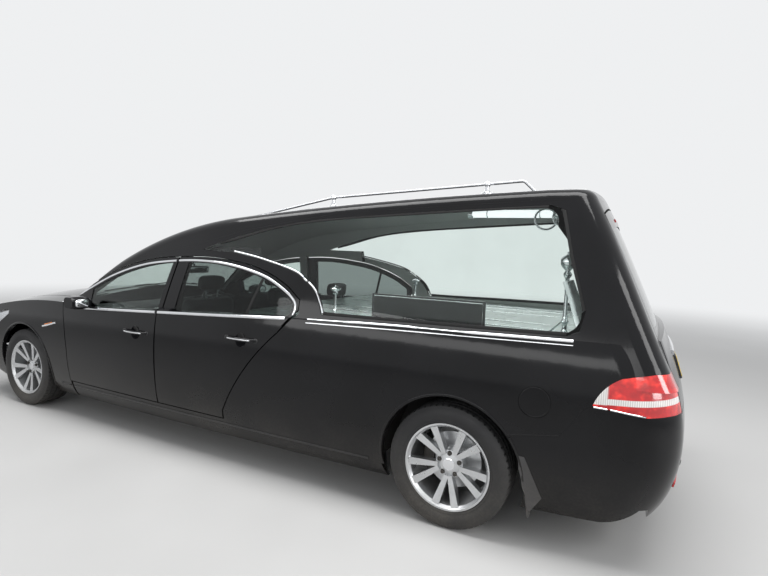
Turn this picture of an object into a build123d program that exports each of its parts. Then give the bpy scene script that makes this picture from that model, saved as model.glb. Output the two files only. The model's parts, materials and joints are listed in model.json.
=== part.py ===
from build123d import *
import math
import os

# A hearse: a long four-door estate body on four wheels, with a raised load deck under a
# glazed rear roof. Millimetres. The nose points to -X, the left side to -Y and +Z is up.
# The origin lies on the ground below the middle of the body.

# Driving dimensions
FRONT_OVERHANG = 970.0      # nose to front axle
WHEELBASE = 3750.0
REAR_OVERHANG = 1080.0      # rear axle to tail
HALF_WIDTH = 943.0          # body side at its widest
TYRE_R = 322.0
TYRE_WIDTH = 235.0
TRACK_INSET = 153.0         # body side to the middle of the tyre
RIM_R = 227.0
SKIN = 25.0                 # wings, bonnet and front bumper
TAIL_WALL = 60.0            # tailgate and rear bumper
DOOR_WALL = 88.0            # body side to the doors' inner face
FRAME_WALL = 38.0           # window frames, pillars and roof
SHUT_GAP = 7.0              # doors to the body
GATE_GAP = 10.0             # tailgate to the body
BONNET_GAP = 9.0
FIT_GAP = 0.3               # between fixed pieces
GLASS_SET = 4.0             # skin to the glass's outer face
GLASS = 5.0
RUN_GAP = 0.06              # shaft to bore, on the radius
SEAL_STEP = 12.0            # how far the deck's rear tabs reach down
PAD = 8.0                   # raised middle board of the deck
BOARD_TALL = 171.0          # name board above the deck
PIN_LOW = 106.0             # axle to the knuckle's lower and upper pin faces
PIN_HIGH = 116.0
TUNNEL = 108.0              # axle to the floor's underside over the rear axle
FLOOR = 40.0                # thickness of that floor
ARCH_CLEAR = 50.0           # tyre to the wheel arch, and to the house behind it
WELL_CLEAR = 68.0
SILL_TOP = 290.0
DOOR_BOTTOM = 302.0
DECK_TOP = 1005.0
DECK = 20.0
BULKHEAD = 490.0            # front axle to the bulkhead, and its thickness
BULKHEAD_T = 30.0
ROOF_EDGE_R = 85.0
DOOR_LEAN = 0.25            # how far the shut faces run forward for each unit inboard
SLAT_PITCH = 22.0           # upright grille slats, and their thickness and set-back
SLAT = 5.0
SLAT_SET = 5.0
HANDLE_CUP_R = 70.0         # ball that hollows the door behind a handle, and the cup's depth
HANDLE_CUP = 16.0
BOLT_CIRCLE_R = 57.0

LENGTH = FRONT_OVERHANG + WHEELBASE + REAR_OVERHANG
NOSE, TAIL = -LENGTH / 2, LENGTH / 2
FA = NOSE + FRONT_OVERHANG
RA = FA + WHEELBASE
WHEEL_Y = HALF_WIDTH - TRACK_INSET
ARCH_R = TYRE_R + ARCH_CLEAR
WELL_R = TYRE_R + WELL_CLEAR
BOTTOM = 165.0


def f_(x, z):
    """A point placed from the front axle."""
    return (FA + x, z)


def r_(x, z):
    """A point placed from the rear axle."""
    return (RA + x, z)


def outline(start, *legs):
    """Closed flat face. A leg is the next point, or a (through, end) pair for an arc."""
    edges, here = [], start
    for leg in legs:
        if isinstance(leg[0], tuple):
            edges.append(ThreePointArc(here, leg[0], leg[1]))
            here = leg[1]
        else:
            edges.append(Line(here, leg))
            here = leg
    if (Vector(*here) - Vector(*start)).length > 1e-6:
        edges.append(Line(here, start))
    return make_face(edges)


def across(face, y_in, y_out):
    """Prism of an XZ face from y_in outward to y_out, y_out being the lower."""
    return extrude(Plane(origin=(0, y_in, 0), x_dir=(1, 0, 0), z_dir=(0, -1, 0)) * face, y_in - y_out)


def along(face, x0, x1):
    """Prism of a YZ face from x0 to x1."""
    return extrude(Plane(origin=(x0, 0, 0), x_dir=(0, 1, 0), z_dir=(1, 0, 0)) * face, x1 - x0)


def upward(face, z0, z1):
    """Prism of an XY face from z0 to z1."""
    return extrude(Plane.XY.offset(z0) * face, z1 - z0)


def block(x0, x1, y0, y1, z0, z1):
    return Pos((x0 + x1) / 2, (y0 + y1) / 2, (z0 + z1) / 2) * Box(abs(x1 - x0), abs(y1 - y0), abs(z1 - z0))


def disc(x, z, r, y0, y1):
    """Cylinder across the body, from y0 to y1."""
    return Pos(x, (y0 + y1) / 2, z) * Rot(90, 0, 0) * Cylinder(r, abs(y1 - y0))


def other_side(shape):
    return mirror(shape, about=Plane.XZ)


def solids_of(*shapes):
    out = []
    for shape in shapes:
        out += list(shape.solids())
    return out


def only_big(shape, least=1000.0):
    return [s for s in shape.solids() if s.volume > least]


def save(name, *shapes):
    pieces = solids_of(*shapes)
    export_step(Compound(label=name, children=pieces), "parts/" + name + ".step")


# Body volumes. Each is two lofts that cross: one up through the plan sections, one across
# through the side profiles.
def plan(z, half, nose, tail, bow, tuck, r_nose, r_tail):
    nose_w, tail_w = half - tuck[0], half - tuck[1]
    front = ThreePointArc((nose + bow[0], -nose_w), (nose, 0), (nose + bow[0], nose_w))
    right = ThreePointArc((nose + bow[0], nose_w), ((nose + tail) / 2, half), (tail - bow[1], tail_w))
    rear = ThreePointArc((tail - bow[1], tail_w), (tail, 0), (tail - bow[1], -tail_w))
    left = ThreePointArc((tail - bow[1], -tail_w), ((nose + tail) / 2, -half), (nose + bow[0], -nose_w))
    face = make_face([front, right, rear, left])
    face = fillet(face.vertices().sort_by(Axis.X)[:2], r_nose)
    face = fillet([v for v in face.vertices() if abs(v.X - (tail - bow[1])) < 1e-3], r_tail)
    return Plane.XY.offset(z) * face


def side_plane(y):
    return Plane(origin=(0, y, 0), x_dir=(1, 0, 0), z_dir=(0, -1, 0))


LOWER_ROWS = (  # height, side in, nose in, tail in
    (BOTTOM, 100, 170, 150),
    (300, 38, 30, 60),
    (520, 5, 0, 5),
    (720, 0, 25, 12),
    (1080, 70, 190, 130),
)


def lower_body(inset=0.0):
    sections = [
        plan(z, HALF_WIDTH - side - inset, NOSE + nose + inset, TAIL - tail - inset,
             (150, 60), (50, 70), 330, 230)
        for z, side, nose, tail in LOWER_ROWS
    ]

    def profile(y, lip, lead, crown, cowl_in, cowl, waist, end):
        face = outline(
            (NOSE - 100, -50), (NOSE - 100, lip[1] - 10), lip, (lead, crown), (cowl_in, cowl), (waist, end),
            (end[0], -50))
        return side_plane(y) * face

    middle = profile(0, (NOSE + 15, 650), (NOSE + 75, 760), (NOSE + 220, 830), (FA - 300, 935),
                     (FA + 560, 1000), (FA + 2440, 1040), (TAIL + 100, 1060))
    left, right = [
        profile(y, (NOSE + 60, 600), (NOSE + 170, 690), (NOSE + 330, 748), (FA - 200, 842),
                (FA + 560, 903), (FA + 2440, 972), (TAIL + 100, 1032))
        for y in (-HALF_WIDTH - 60, HALF_WIDTH + 60)
    ]
    return (loft(sections) & Pos(0, 0, -inset) * loft([left, middle, right])).solids()[0]


UPPER_ROWS = (  # height, half width, tail from the body's tail
    (850, 903, -48),
    (1150, 832, -185),
    (1450, 738, -317),
    (1850, 575, -520),
)


def upper_sections(inset=0.0):
    return loft([
        plan(z, half - 943 + HALF_WIDTH - inset, FA + 30, TAIL + tail - inset, (60, 40), (60, 45), 200, 110)
        for z, half, tail in UPPER_ROWS
    ])


def greenhouse(inset=0.0, rounded=False):
    sections = upper_sections(inset)

    def profile(y, scuttle, header, rise, crest, end):
        turn = math.radians(rise)
        front = TangentArc(header, crest, tangent=Vector(math.cos(turn), math.sin(turn)))
        top = TangentArc(crest, end, tangent=front % 1)
        edges = [
            Line((scuttle[0], 250), scuttle), Line(scuttle, header), front, top,
            Line(end, (TAIL + 150, end[1])), Line((TAIL + 150, end[1]), (TAIL + 150, 250)),
            Line((TAIL + 150, 250), (scuttle[0], 250)),
        ]
        return side_plane(y) * make_face(edges)

    middle = profile(0, f_(30, 668), f_(1080, 1360), 26.4, f_(2080, 1643), r_(380, 1791))
    left, right = [
        profile(y, f_(80, 590), f_(1150, 1290), 25.0, f_(2080, 1562), r_(380, 1710))
        for y in (-HALF_WIDTH + 43, HALF_WIDTH - 43)
    ]
    shape = (sections & Pos(0, 0, -inset) * loft([left, middle, right])).solids()[0]
    if not rounded:
        return shape
    tops = [f for f in shape.faces() if f.normal_at(f.center()).Z > 0.5 and f.center().Z > 1000]
    border = []
    for edge in shape.edges():
        ends = [any(edge.is_same(e) for e in f.edges()) for f in tops]
        if sum(ends) == 1 and (edge @ 0.5).Z > 1260:
            border.append(edge)
    border = [e for e in border if any(not any(f.is_same(t) for t in tops) and any(e.is_same(g) for g in f.edges())
                                       for f in shape.faces())]
    return shape.fillet(ROOF_EDGE_R, border)


roof_volume = greenhouse(rounded=True)
outer = (lower_body() + roof_volume).solids()[0]

# Hollow spaces
wide = HALF_WIDTH + 60
shoulder = (f_(590, 863), (f_(1500, 905), f_(2440, 932)), r_(900, 990))
cabin_x = BULKHEAD + BULKHEAD_T
low_room = outline(f_(cabin_x, SILL_TOP), f_(cabin_x, 863), *shoulder, r_(1100, 990), r_(1100, SILL_TOP))
inner_y = HALF_WIDTH - DOOR_WALL
low_cavity = lower_body(TAIL_WALL) & across(low_room, inner_y, -inner_y)
upper_cavity = greenhouse(FRAME_WALL) & block(FA + cabin_x + 25, TAIL, -wide, wide, 862, 1900)
front_cavity = lower_body(SKIN) & block(NOSE - 50, FA + BULKHEAD, -wide, wide, 0, 1100)
floor_room = block(FA + 400, TAIL - 160, -HALF_WIDTH + 143, HALF_WIDTH - 143, 100, SILL_TOP)
shell = outer - (low_cavity + upper_cavity) - front_cavity - floor_room
for y0, y1 in ((-460, -wide), (wide, 460)):
    shell -= disc(FA, TYRE_R, ARCH_R, y0, y1)
for y0, y1 in ((-640, -inner_y - 12), (inner_y + 12, 640)):
    shell -= disc(RA, TYRE_R, WELL_R, y0, y1)
for y0, y1 in ((-inner_y - 12, -wide), (wide, inner_y + 12)):
    shell -= disc(RA, TYRE_R, ARCH_R, y0, y1)


# Doors (left side; the right side is mirrored)
def straight(face, grow=0.0):
    shape = offset(face, grow, kind=Kind.ARC) if grow else face
    return across(shape, 283 - HALF_WIDTH, -wide)


def leaning(face, grow=0.0):
    """The same prism with its faces running forward inboard, so that a rear edge swings clear."""
    sets = []
    for z0, z1, y_ref, lean in ((100, 945, HALF_WIDTH - 18, 0.0), (945, 1500, HALF_WIDTH - 68, 13.0)):
        tilt = math.radians(lean)
        base = 0.0 if z0 < 900 else 945.0
        y_at = -y_ref
        plane = Plane(origin=(-DOOR_LEAN * 300, y_at + 300, base), x_dir=(1, 0, 0),
                      z_dir=(0, -math.cos(tilt), math.sin(tilt)))
        flat = Pos(0, -base) * face
        flat = scale(flat, by=(1, 1 / math.cos(tilt), 1)) if lean else flat
        length = 520 * math.sqrt(1 + DOOR_LEAN ** 2)
        prism = extrude(plane * flat, length, dir=(DOOR_LEAN, -1, 0))
        sets.append(prism & block(FA, RA, -wide - 200, 0, z0, z1))
    return sets[0] + sets[1]


front_door_face = outline(
    f_(558, 925), (f_(1009, 1178), f_(1688, 1316)), f_(1626, 940), f_(1626, DOOR_BOTTOM), f_(621, DOOR_BOTTOM),
    f_(621, 560), f_(598, 744))
rear_door_face = outline(
    f_(1634, 940), f_(1696, 1316.5), (f_(1950, 1326), f_(2215, 1305)), (f_(2483, 1252), f_(2672, 1172)),
    f_(2773, 1100), f_(2773, 1022), f_(2665, 905), (f_(2382, 590), f_(2241, 360)), f_(2236, DOOR_BOTTOM),
    f_(1634, DOOR_BOTTOM))
front_glass_face = outline(
    f_(810, 904), f_(810, 1038), (f_(1230, 1204), f_(1638, 1275)), f_(1580, 945))
rear_glass_face = outline(
    f_(1745, 952), f_(1790, 1282), (f_(1990, 1286), f_(2205, 1265)), (f_(2470, 1211), f_(2642, 1139)),
    f_(2728, 1080), f_(2728, 1030), f_(2705, 1003))
deck_glass_face = outline(
    f_(1890, 1377), (f_(2520, 1552), f_(2920, 1602)), (r_(-320, 1636), r_(395, 1676)), r_(472, 1649),
    r_(531, 1415), r_(606, 1170), r_(587, 1075), r_(532, 1048), f_(2941, 1030), f_(2922, 1072),
    (f_(2860, 1165), f_(2683, 1268)), (f_(2400, 1332), f_(2180, 1366)))


def pane(face, sink=GLASS_SET):
    cut = across(offset(face, -FIT_GAP, kind=Kind.ARC), 403 - HALF_WIDTH, -wide)
    sheet = (cut & Pos(0, sink, 0) * roof_volume) - Pos(0, sink + GLASS, 0) * roof_volume
    return max(sheet.solids(), key=lambda s: s.volume)


door_opening = straight(front_door_face + rear_door_face, SHUT_GAP)
door_opening += straight(offset(front_door_face, 4) + offset(rear_door_face, 4))
door_opening -= upper_sections(FRAME_WALL + 16)
door_core = upper_sections(FRAME_WALL + 4)
front_door = (shell & straight(front_door_face) & leaning(front_door_face)) - straight(front_glass_face)
front_door -= door_core
rear_door = (shell & straight(rear_door_face) & leaning(rear_door_face)) - straight(rear_glass_face)
cup_y = HANDLE_CUP_R - HANDLE_CUP + HALF_WIDTH
front_door -= Pos(FA + 1438, 6 - cup_y, 781) * Sphere(HANDLE_CUP_R)
rear_door -= Pos(FA + 2401, 11 - cup_y, 838) * Sphere(HANDLE_CUP_R)
front_door = max(front_door.solids(), key=lambda s: s.volume)
rear_door = max(rear_door.solids(), key=lambda s: s.volume)
print("doors", round(front_door.volume / 1e6), round(rear_door.volume / 1e6))

# Lids
bonnet_plan = outline(
    (NOSE - 40, -590), f_(-570, -690), f_(340, -745), f_(480, -745), (f_(472, 0), f_(480, 745)), f_(340, 745),
    f_(-570, 690),
    (NOSE - 40, 590))
bonnet_room = upward(bonnet_plan, 652, 1100)
bonnet_cut = upward(offset(bonnet_plan, BONNET_GAP, kind=Kind.ARC), 652 - BONNET_GAP, 1100)
gate = HALF_WIDTH - 253
tailgate_face = outline(
    (-gate, 742), (gate, 742), (gate, 940), (gate - 35, 1060), (gate - 152, 1634), ((0, 1690), (152 - gate, 1634)),
    (35 - gate, 1060), (-gate, 940))
tail_glass_face = outline(
    (100 - gate, 1092), ((0, 1080), (gate - 100, 1092)), (gate - 175, 1560), ((0, 1600), (175 - gate, 1560)))
tailgate_room = along(tailgate_face, RA + 540, TAIL + 60)
tailgate_cut = along(offset(tailgate_face, GATE_GAP, kind=Kind.ARC), RA + 500, TAIL + 60)
header = block(RA, TAIL, -wide, wide, 1560, 1900)
tailgate_cut -= upper_sections(FRAME_WALL + 8) & header
tail_glass_room = along(tail_glass_face, RA + 540, TAIL + 60)
tailgate = (shell & tailgate_room) - (upper_sections(FRAME_WALL) & header) - tail_glass_room
plate_face = Pos(0, 865) * RectangleRounded(556, 136, 14)
tailgate -= along(plate_face, TAIL - 200, TAIL + 60) - lower_body(8)
tailgate = max(tailgate.solids(), key=lambda s: s.volume)
bonnet = max((shell & bonnet_room).solids(), key=lambda s: s.volume)


def sheet(room, dx, dz):
    """Glass in a room that runs along the body, sunk along (dx, dz)."""
    upper = (room & Pos(dx * GLASS_SET, 0, dz * GLASS_SET) * roof_volume)
    depth = GLASS_SET + GLASS
    upper -= Pos(dx * depth, 0, dz * depth) * roof_volume
    return max(upper.solids(), key=lambda s: s.volume)


screen_face = outline(
    (-(HALF_WIDTH - 193), 932), ((0, 1010), (HALF_WIDTH - 193, 932)), (HALF_WIDTH - 325, 1255),
    ((0, 1318), (-(HALF_WIDTH - 325), 1255)))
screen_room = along(screen_face, FA + 290, FA + 1172)
windscreen = sheet(along(offset(screen_face, -FIT_GAP, kind=Kind.ARC), FA + 290, FA + 1172), 0.55, -0.83)
tail_glass = sheet(along(offset(tail_glass_face, -FIT_GAP, kind=Kind.ARC), RA + 540, TAIL + 60), -0.92, -0.38)
front_glass = pane(front_glass_face)
rear_glass = pane(rear_glass_face)
deck_glass = pane(deck_glass_face)

# Fixed outer panels
frame_shell = shell - door_opening - other_side(door_opening) - bonnet_cut - tailgate_cut
frame_shell -= screen_room
deck_opening = across(deck_glass_face, 403 - HALF_WIDTH, -wide)
frame_shell -= deck_opening + other_side(deck_opening)

roof_line = outline(
    f_(1120, 1262), f_(1850, 1420), f_(2205, 1512), f_(2920, 1634), r_(395, 1704), r_(640, 1716), r_(640, 1900),
    f_(1050, 1900))
roof_cut = across(roof_line, wide, -wide)
headlight_line = outline(
    (NOSE - 50, 560), (NOSE + 260, 578), f_(-430, 640), f_(-222, 762), f_(-222, 800), f_(-470, 742), f_(-720, 704),
    f_(-860, 643), (NOSE - 50, 643))
headlight_cut = across(headlight_line, -345, -wide)
grille_room = block(NOSE - 50, NOSE + 120, -330, 330, 560, 641)
front_bumper_line = outline(
    (NOSE - 50, 100), (NOSE - 50, 556), (NOSE + 262, 574), f_(-430, 606), f_(-330, 540), f_(-330, 100))
rear_bumper_line = outline(
    r_(275, 100), r_(275, 546), r_(536, 590), r_(633, 737), r_(664, 752), r_(885, 728), r_(980, 735), r_(1200, 735),
    r_(1200, 100))
tail_light_line = outline(
    r_(667, 758), ((r_(705, 830)), r_(780, 892)), r_(908, 922), r_(1100, 922), r_(1100, 742), r_(978, 742), r_(885, 735))
wing_line = outline(
    (NOSE - 50, 100), f_(617, 100), f_(617, 560), f_(593, 744), f_(540, 1000), (NOSE - 50, 1000))


def region(face, y_in=wide, y_out=-wide):
    return across(face, y_in, y_out)


roof_panel = frame_shell & roof_cut
rest = frame_shell - region(Pos(-FIT_GAP, -FIT_GAP) * roof_line)
tail_light = max((rest & region(tail_light_line, -HALF_WIDTH + 246)).solids(), key=lambda s: s.volume)
lamp_hole = region(offset(tail_light_line, FIT_GAP, kind=Kind.ARC), -HALF_WIDTH + 246)
rest = rest - lamp_hole - other_side(lamp_hole)
rear_bumper = rest & region(rear_bumper_line)
rest -= region(offset(rear_bumper_line, FIT_GAP, kind=Kind.ARC))
headlight = max((rest & headlight_cut).solids(), key=lambda s: s.volume)
lamp_hole = across(offset(headlight_line, FIT_GAP, kind=Kind.ARC), -345 + FIT_GAP, -wide)
rest = rest - lamp_hole - other_side(lamp_hole)
grille = rest & grille_room
for y0, y1 in ((-314, -12), (12, 314)):
    grille -= block(NOSE - 50, NOSE + 121, y0, y1, 572, 630)
slat_room = lower_body(SLAT_SET) - lower_body(SKIN)
for k in range(1, 14):
    y = 12 + k * SLAT_PITCH
    for middle in (-y, y):
        grille += slat_room & block(NOSE - 50, NOSE + 121, middle - SLAT / 2, middle + SLAT / 2, 568, 634)
rest -= block(NOSE - 50, NOSE + 121, -330 - FIT_GAP, 330 + FIT_GAP, 560 - FIT_GAP, 645)
front_bumper = rest & region(front_bumper_line)
intake = along(Pos(0, 338) * RectangleRounded(640, 96, 30), NOSE - 50, NOSE + 150)
lamp_face = outline((560, 300), (690, 318), (700, 380), (575, 386))
lamp_pocket = along(lamp_face, NOSE - 50, NOSE + 330)
front_bumper = front_bumper - intake - lamp_pocket - other_side(lamp_pocket)
for z in (314, 338, 362):
    front_bumper += slat_room & block(NOSE - 50, NOSE + 150, -330, 330, z - 3, z + 3)
for y in (-107, 107):
    front_bumper += slat_room & block(NOSE - 50, NOSE + 150, y - 4, y + 4, 285, 391)
rest -= region(offset(front_bumper_line, FIT_GAP, kind=Kind.ARC))
wing_room = upward(outline((NOSE - 50, -wide), (NOSE - 50, -585), f_(420, -585), f_(420, -wide)), 0, 1100)
wing_tail_line = outline(f_(415, 100), f_(640, 100), f_(640, 560), f_(593, 744), f_(540, 1000), f_(415, 1000))
wing_tail = across(wing_tail_line, -560, -wide) - lower_body(SKIN)
wing_rest = rest & region(wing_line, -560)
front_wing = max(((wing_rest & wing_room) + (wing_rest & wing_tail)).solids(), key=lambda s: s.volume)
body = rest - upward(outline((NOSE - 60, -wide - 50), (NOSE - 60, wide + 50), f_(420.3, wide + 50),
                             f_(420.3, -wide - 50)), 0, 1200)
wing_tail = across(offset(wing_tail_line, FIT_GAP, kind=Kind.ARC), -560, -wide) - lower_body(SKIN + FIT_GAP)
body = body - wing_tail - other_side(wing_tail)
flap_edge = disc(RA + 418, 735, 75, 143 - HALF_WIDTH, -wide) - disc(RA + 418, 735, 71.5, 140 - HALF_WIDTH, -wide - 1)
body -= flap_edge - lower_body(5)
for name, thing in (("roof", roof_panel), ("tail_light", tail_light), ("rear_bumper", rear_bumper),
                    ("headlight", headlight), ("grille", grille), ("front_bumper", front_bumper),
                    ("wing", front_wing), ("body", body), ("bonnet", bonnet), ("tailgate", tailgate)):
    print(name, [round(s.volume / 1e3) for s in thing.solids()])

# Pillars and rails inside the doors
rail_room = across(outline(f_(1080, 1200), f_(2330, 1200), f_(2330, 1400), f_(1800, 1400), f_(1500, 1336),
                           f_(1080, 1250)), -500, -wide)
rail_room -= straight(offset(front_door_face, 12)) + straight(offset(rear_door_face, 12))
rail = (greenhouse(FRAME_WALL) & rail_room) - greenhouse(FRAME_WALL + 50)
pillar_room = across(outline(f_(1590, 885), f_(1670, 885), f_(1724, 1345), f_(1644, 1345)), -500, -wide)
pillar = (greenhouse(FRAME_WALL + 12) & pillar_room) - greenhouse(FRAME_WALL + 52)
post = block(FA + 1585, FA + 1712, -inner_y + 20, -inner_y + 54, SILL_TOP - 60, 905)
for x in (FA + 1600, FA + 1694):
    post += disc(x, 620, 9, -inner_y + 30, -inner_y + FIT_GAP)
print("rail", [round(s.volume / 1e3) for s in rail.solids()], "pillar", [round(s.volume / 1e3) for s in pillar.solids()])
side_frame = only_big(body + post + pillar + rail + other_side(post + pillar + rail), 20000)

# Underbody
floor_y = HALF_WIDTH - 143.4
floor_top = SILL_TOP - FIT_GAP
tunnel_z = TYRE_R + TUNNEL
slab = outline(
    f_(400, 235), r_(-450, 235), r_(-420, tunnel_z), r_(430, tunnel_z), r_(460, 300), r_(880, 300), r_(880, 340),
    r_(500, 340), r_(470, tunnel_z + FLOOR), r_(-460, tunnel_z + FLOOR), r_(-490, floor_top), f_(400, floor_top))
inside = lower_body(TAIL_WALL + 2 * FIT_GAP)
underbody = across(slab, floor_y, -floor_y) & inside
for y0, y1 in ((-622, -floor_y - 5), (floor_y + 5, 622)):
    underbody -= disc(RA, TYRE_R, WELL_R + 18, y0, y1)
house = disc(RA, TYRE_R, WELL_R + 18, -622, FIT_GAP - inner_y) - disc(RA, TYRE_R, WELL_R, -640, -inner_y - 1)
house &= block(RA - 500, RA + 460, -wide, 0, SILL_TOP + FIT_GAP, 900)
house -= block(RA - 140, RA + 140, -650, -600, TYRE_R - 122, TYRE_R + 118)
house &= inside
underbody = underbody + house + other_side(house)
RAIL_LOW, RAIL_TOP = 305.0, 400.0
rails = block(FA - 800, FA + BULKHEAD - FIT_GAP, -440, -385, RAIL_LOW, RAIL_TOP)
rails += block(FA + 350, FA + BULKHEAD - FIT_GAP, -440, -385, 240, RAIL_TOP)
front_frame = block(FA - 800, FA - 765, -440, -385, RAIL_TOP, 640) + block(FA - 800, FA - 765, -440, 0, 600, 640)
stops = (Pos(FA - 782, -400, 700) * Cylinder(11, 160)) & lower_body(SKIN + FIT_GAP)
rails = rails + front_frame + stops
underbody = only_big(underbody + rails + other_side(rails))
print("underbody", [round(s.volume / 1e3) for s in underbody])

# Load deck with its front wall
deck_area = greenhouse(FRAME_WALL + 6) & block(FA + 2375, TAIL - 160, -wide, wide, DECK_TOP - DECK, DECK_TOP)
wall_step = min(850, DECK_TOP - 10)
deck_wall = block(FA + 2355, FA + 2375, -inner_y + 20, inner_y - 20, SILL_TOP, wall_step)
deck_wall += block(FA + 2355, FA + 2375, 130 - HALF_WIDTH, HALF_WIDTH - 130, wall_step - 10, DECK_TOP)
tabs = greenhouse(FRAME_WALL + FIT_GAP) & block(TAIL - 190, TAIL, -440, -400, DECK_TOP - SEAL_STEP, DECK_TOP)
pad_from, pad_to = FA + 2460, RA + 400
board_face = Pos((pad_from + pad_to) / 2, 0) * RectangleRounded(pad_to - pad_from, 2 * (HALF_WIDTH - 383), 60)
deck_board = upward(board_face, DECK_TOP - DECK / 2, DECK_TOP + PAD)
load_deck = deck_area + deck_wall + tabs + other_side(tabs) + deck_board
print("deck", [round(s.volume / 1e3) for s in load_deck.solids()])

# Wheels, modelled about the left front wheel's centre with +Y inboard
tyre_half = TYRE_WIDTH / 2
bead = RIM_R - 12
tyre_face = outline(
    (-98, bead + FIT_GAP), (98, bead + FIT_GAP), (98, RIM_R + 1), (106, RIM_R + 3),
    ((tyre_half + 1, RIM_R + 45), (108, TYRE_R - 15)), ((104, TYRE_R - 4), (92, TYRE_R)), (-92, TYRE_R),
    ((-104, TYRE_R - 4), (-108, TYRE_R - 15)), ((-tyre_half - 1, RIM_R + 45), (-106, RIM_R + 3)), (-98, RIM_R + 1))
wheel_plane = Plane(origin=(0, 0, 0), x_dir=(0, 1, 0), z_dir=(1, 0, 0))


def turned(face):
    """Revolve a (along axle, radius) face about the axle."""
    return revolve(wheel_plane * face, axis=Axis.Y)


tyre = turned(tyre_face)
SPINDLE_R = 30.0
barrel = turned(outline(
    (-98, bead), (-98, RIM_R), (-106, RIM_R), (-106, RIM_R - 9), (-90, 205), (98, 205), (106, RIM_R - 8), (106, RIM_R),
    (98, RIM_R), (98, bead)))
hub = turned(outline((-62, 0), (-62, 34), (-52, 72), (20, 72), (20, SPINDLE_R + RUN_GAP), (-30, SPINDLE_R + RUN_GAP),
                     (-30, 0)))
spokes = []
for pair in range(5):
    for side in (-1, 1):
        start, end = pair * 72 + 90 + side * 9, pair * 72 + 90 + side * 14.5
        a, b = math.radians(start), math.radians(end)
        foot = Vector(60 * math.cos(a), 60 * math.sin(a))
        tip = Vector(210 * math.cos(b), 210 * math.sin(b))
        flow = (tip - foot).normalized()
        normal = Vector(-flow.Y, flow.X)
        wing = make_face([
            Line(foot + normal * 12, tip + normal * 20), Line(tip + normal * 20, tip - normal * 20),
            Line(tip - normal * 20, foot - normal * 12), Line(foot - normal * 12, foot + normal * 12)])
        spoke = extrude(Plane(origin=(0, -100, 0), x_dir=(1, 0, 0), z_dir=(0, 1, 0)) * wing, 80)
        dish = turned(outline((-84, 150), (-99, 214), (-66, 214), (-44, 150), (-26, 50), (-66, 50)))
        spokes.append(spoke & dish)
rim = barrel + hub
for spoke in spokes:
    rim += spoke
for k in range(5):
    turn = math.radians(k * 72 + 90)
    pocket = Pos(BOLT_CIRCLE_R * math.cos(turn), -70, BOLT_CIRCLE_R * math.sin(turn))
    rim -= pocket * Rot(90, 0, 0) * Cylinder(13, 40)
rim -= Pos(0, -70, 0) * Rot(90, 0, 0) * Cylinder(30, 24)
brake = turned(outline((20 + FIT_GAP, SPINDLE_R + RUN_GAP), (20 + FIT_GAP, 150), (34, 150), (34, SPINDLE_R + RUN_GAP)))
print("rim", [round(s.volume / 1e3) for s in rim.solids()], "tyre", round(tyre.volume / 1e3))


def wheel(shape, x, side):
    placed = Pos(x, -WHEEL_Y, TYRE_R) * shape
    return placed if side < 0 else other_side(placed)


# Front suspension: knuckles that steer between two arms on a subframe
PIN_Y = WHEEL_Y - 75
PIN_R = 11.0
pin_low, pin_high = TYRE_R - PIN_LOW, TYRE_R + PIN_HIGH


def upright(x):
    y = -PIN_Y
    shape = block(x - 36, x + 36, y - 17, y + 17, pin_low, pin_high)
    shape += disc(x, TYRE_R, 46, y + 12, y - 24)
    shape += disc(x, TYRE_R, SPINDLE_R, y, -WHEEL_Y - 28)
    return shape


knuckle = upright(FA) - Pos(FA, -PIN_Y, pin_low + 10) * Cylinder(PIN_R + RUN_GAP, 40)
knuckle -= Pos(FA, -PIN_Y, pin_high - 10) * Cylinder(PIN_R + RUN_GAP, 40)


def arm(z0, z1, up):
    shape = upward(outline((FA - 150, -420), (FA - 20, -PIN_Y), (FA + 20, -PIN_Y), (FA + 150, -420),
                           (FA + 95, -420), (FA, -PIN_Y + 70), (FA - 95, -420)), z0, z1)
    shape += Pos(FA, -PIN_Y, (z0 + z1) / 2) * Cylinder(28, z1 - z0)
    pin = (z0, pin_low + 28) if up else (pin_high - 28, z1)
    return shape + Pos(FA, -PIN_Y, sum(pin) / 2) * Cylinder(PIN_R, pin[1] - pin[0])


arms = arm(pin_low - 24, pin_low - FIT_GAP, True) + arm(pin_high + FIT_GAP, pin_high + 20, False)
subframe = block(FA - 170, FA + 170, -420, 420, 185, 232) - block(FA - 110, FA + 110, -340, 340, 180, 240)
subframe += block(FA - 60, FA + 60, -420, 420, 185, 232)
tower_top = pin_high + 27
tower = block(FA - 170, FA + 170, -420, -384, 185, RAIL_LOW - FIT_GAP)
tower += block(FA - 165, FA + 165, -470, -440 - FIT_GAP, RAIL_TOP, tower_top)
tower += block(FA - 165, FA + 165, -470, -420, RAIL_TOP + FIT_GAP, tower_top)
front_axle = only_big(subframe + tower + arms + other_side(tower + arms))
print("front axle", [round(s.volume / 1e3) for s in front_axle])

# Rear axle: carriers, half shafts and a final drive on a crossmember
carrier = upright(RA)
half_shaft = disc(RA, TYRE_R, 20, -PIN_Y + 17, -150)
trail = block(RA - 420, RA - 30, -600, -560, TYRE_R - 72, TYRE_R - 22)
trail += block(RA - 60, RA + 60, -PIN_Y + 10, -560, TYRE_R - 82, TYRE_R - 22)
cross = block(RA - 60, RA + 60, -540, 540, TYRE_R + 23, TYRE_R + 78)
cross -= block(RA - 61, RA + 61, -160, 160, TYRE_R + 18, TYRE_R + 50)
drive = disc(RA, TYRE_R, 22, -200, 200) + block(RA - 120, RA + 130, -150, 150, TYRE_R - 75, TYRE_R + 70)
hang = block(RA - 40, RA + 40, -540, -500, TYRE_R + 23, tunnel_z - FIT_GAP)
rear_axle = only_big(drive + carrier + half_shaft + trail + hang + cross + other_side(carrier + half_shaft + trail + hang))
print("rear axle", [round(s.volume / 1e3) for s in rear_axle])

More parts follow.
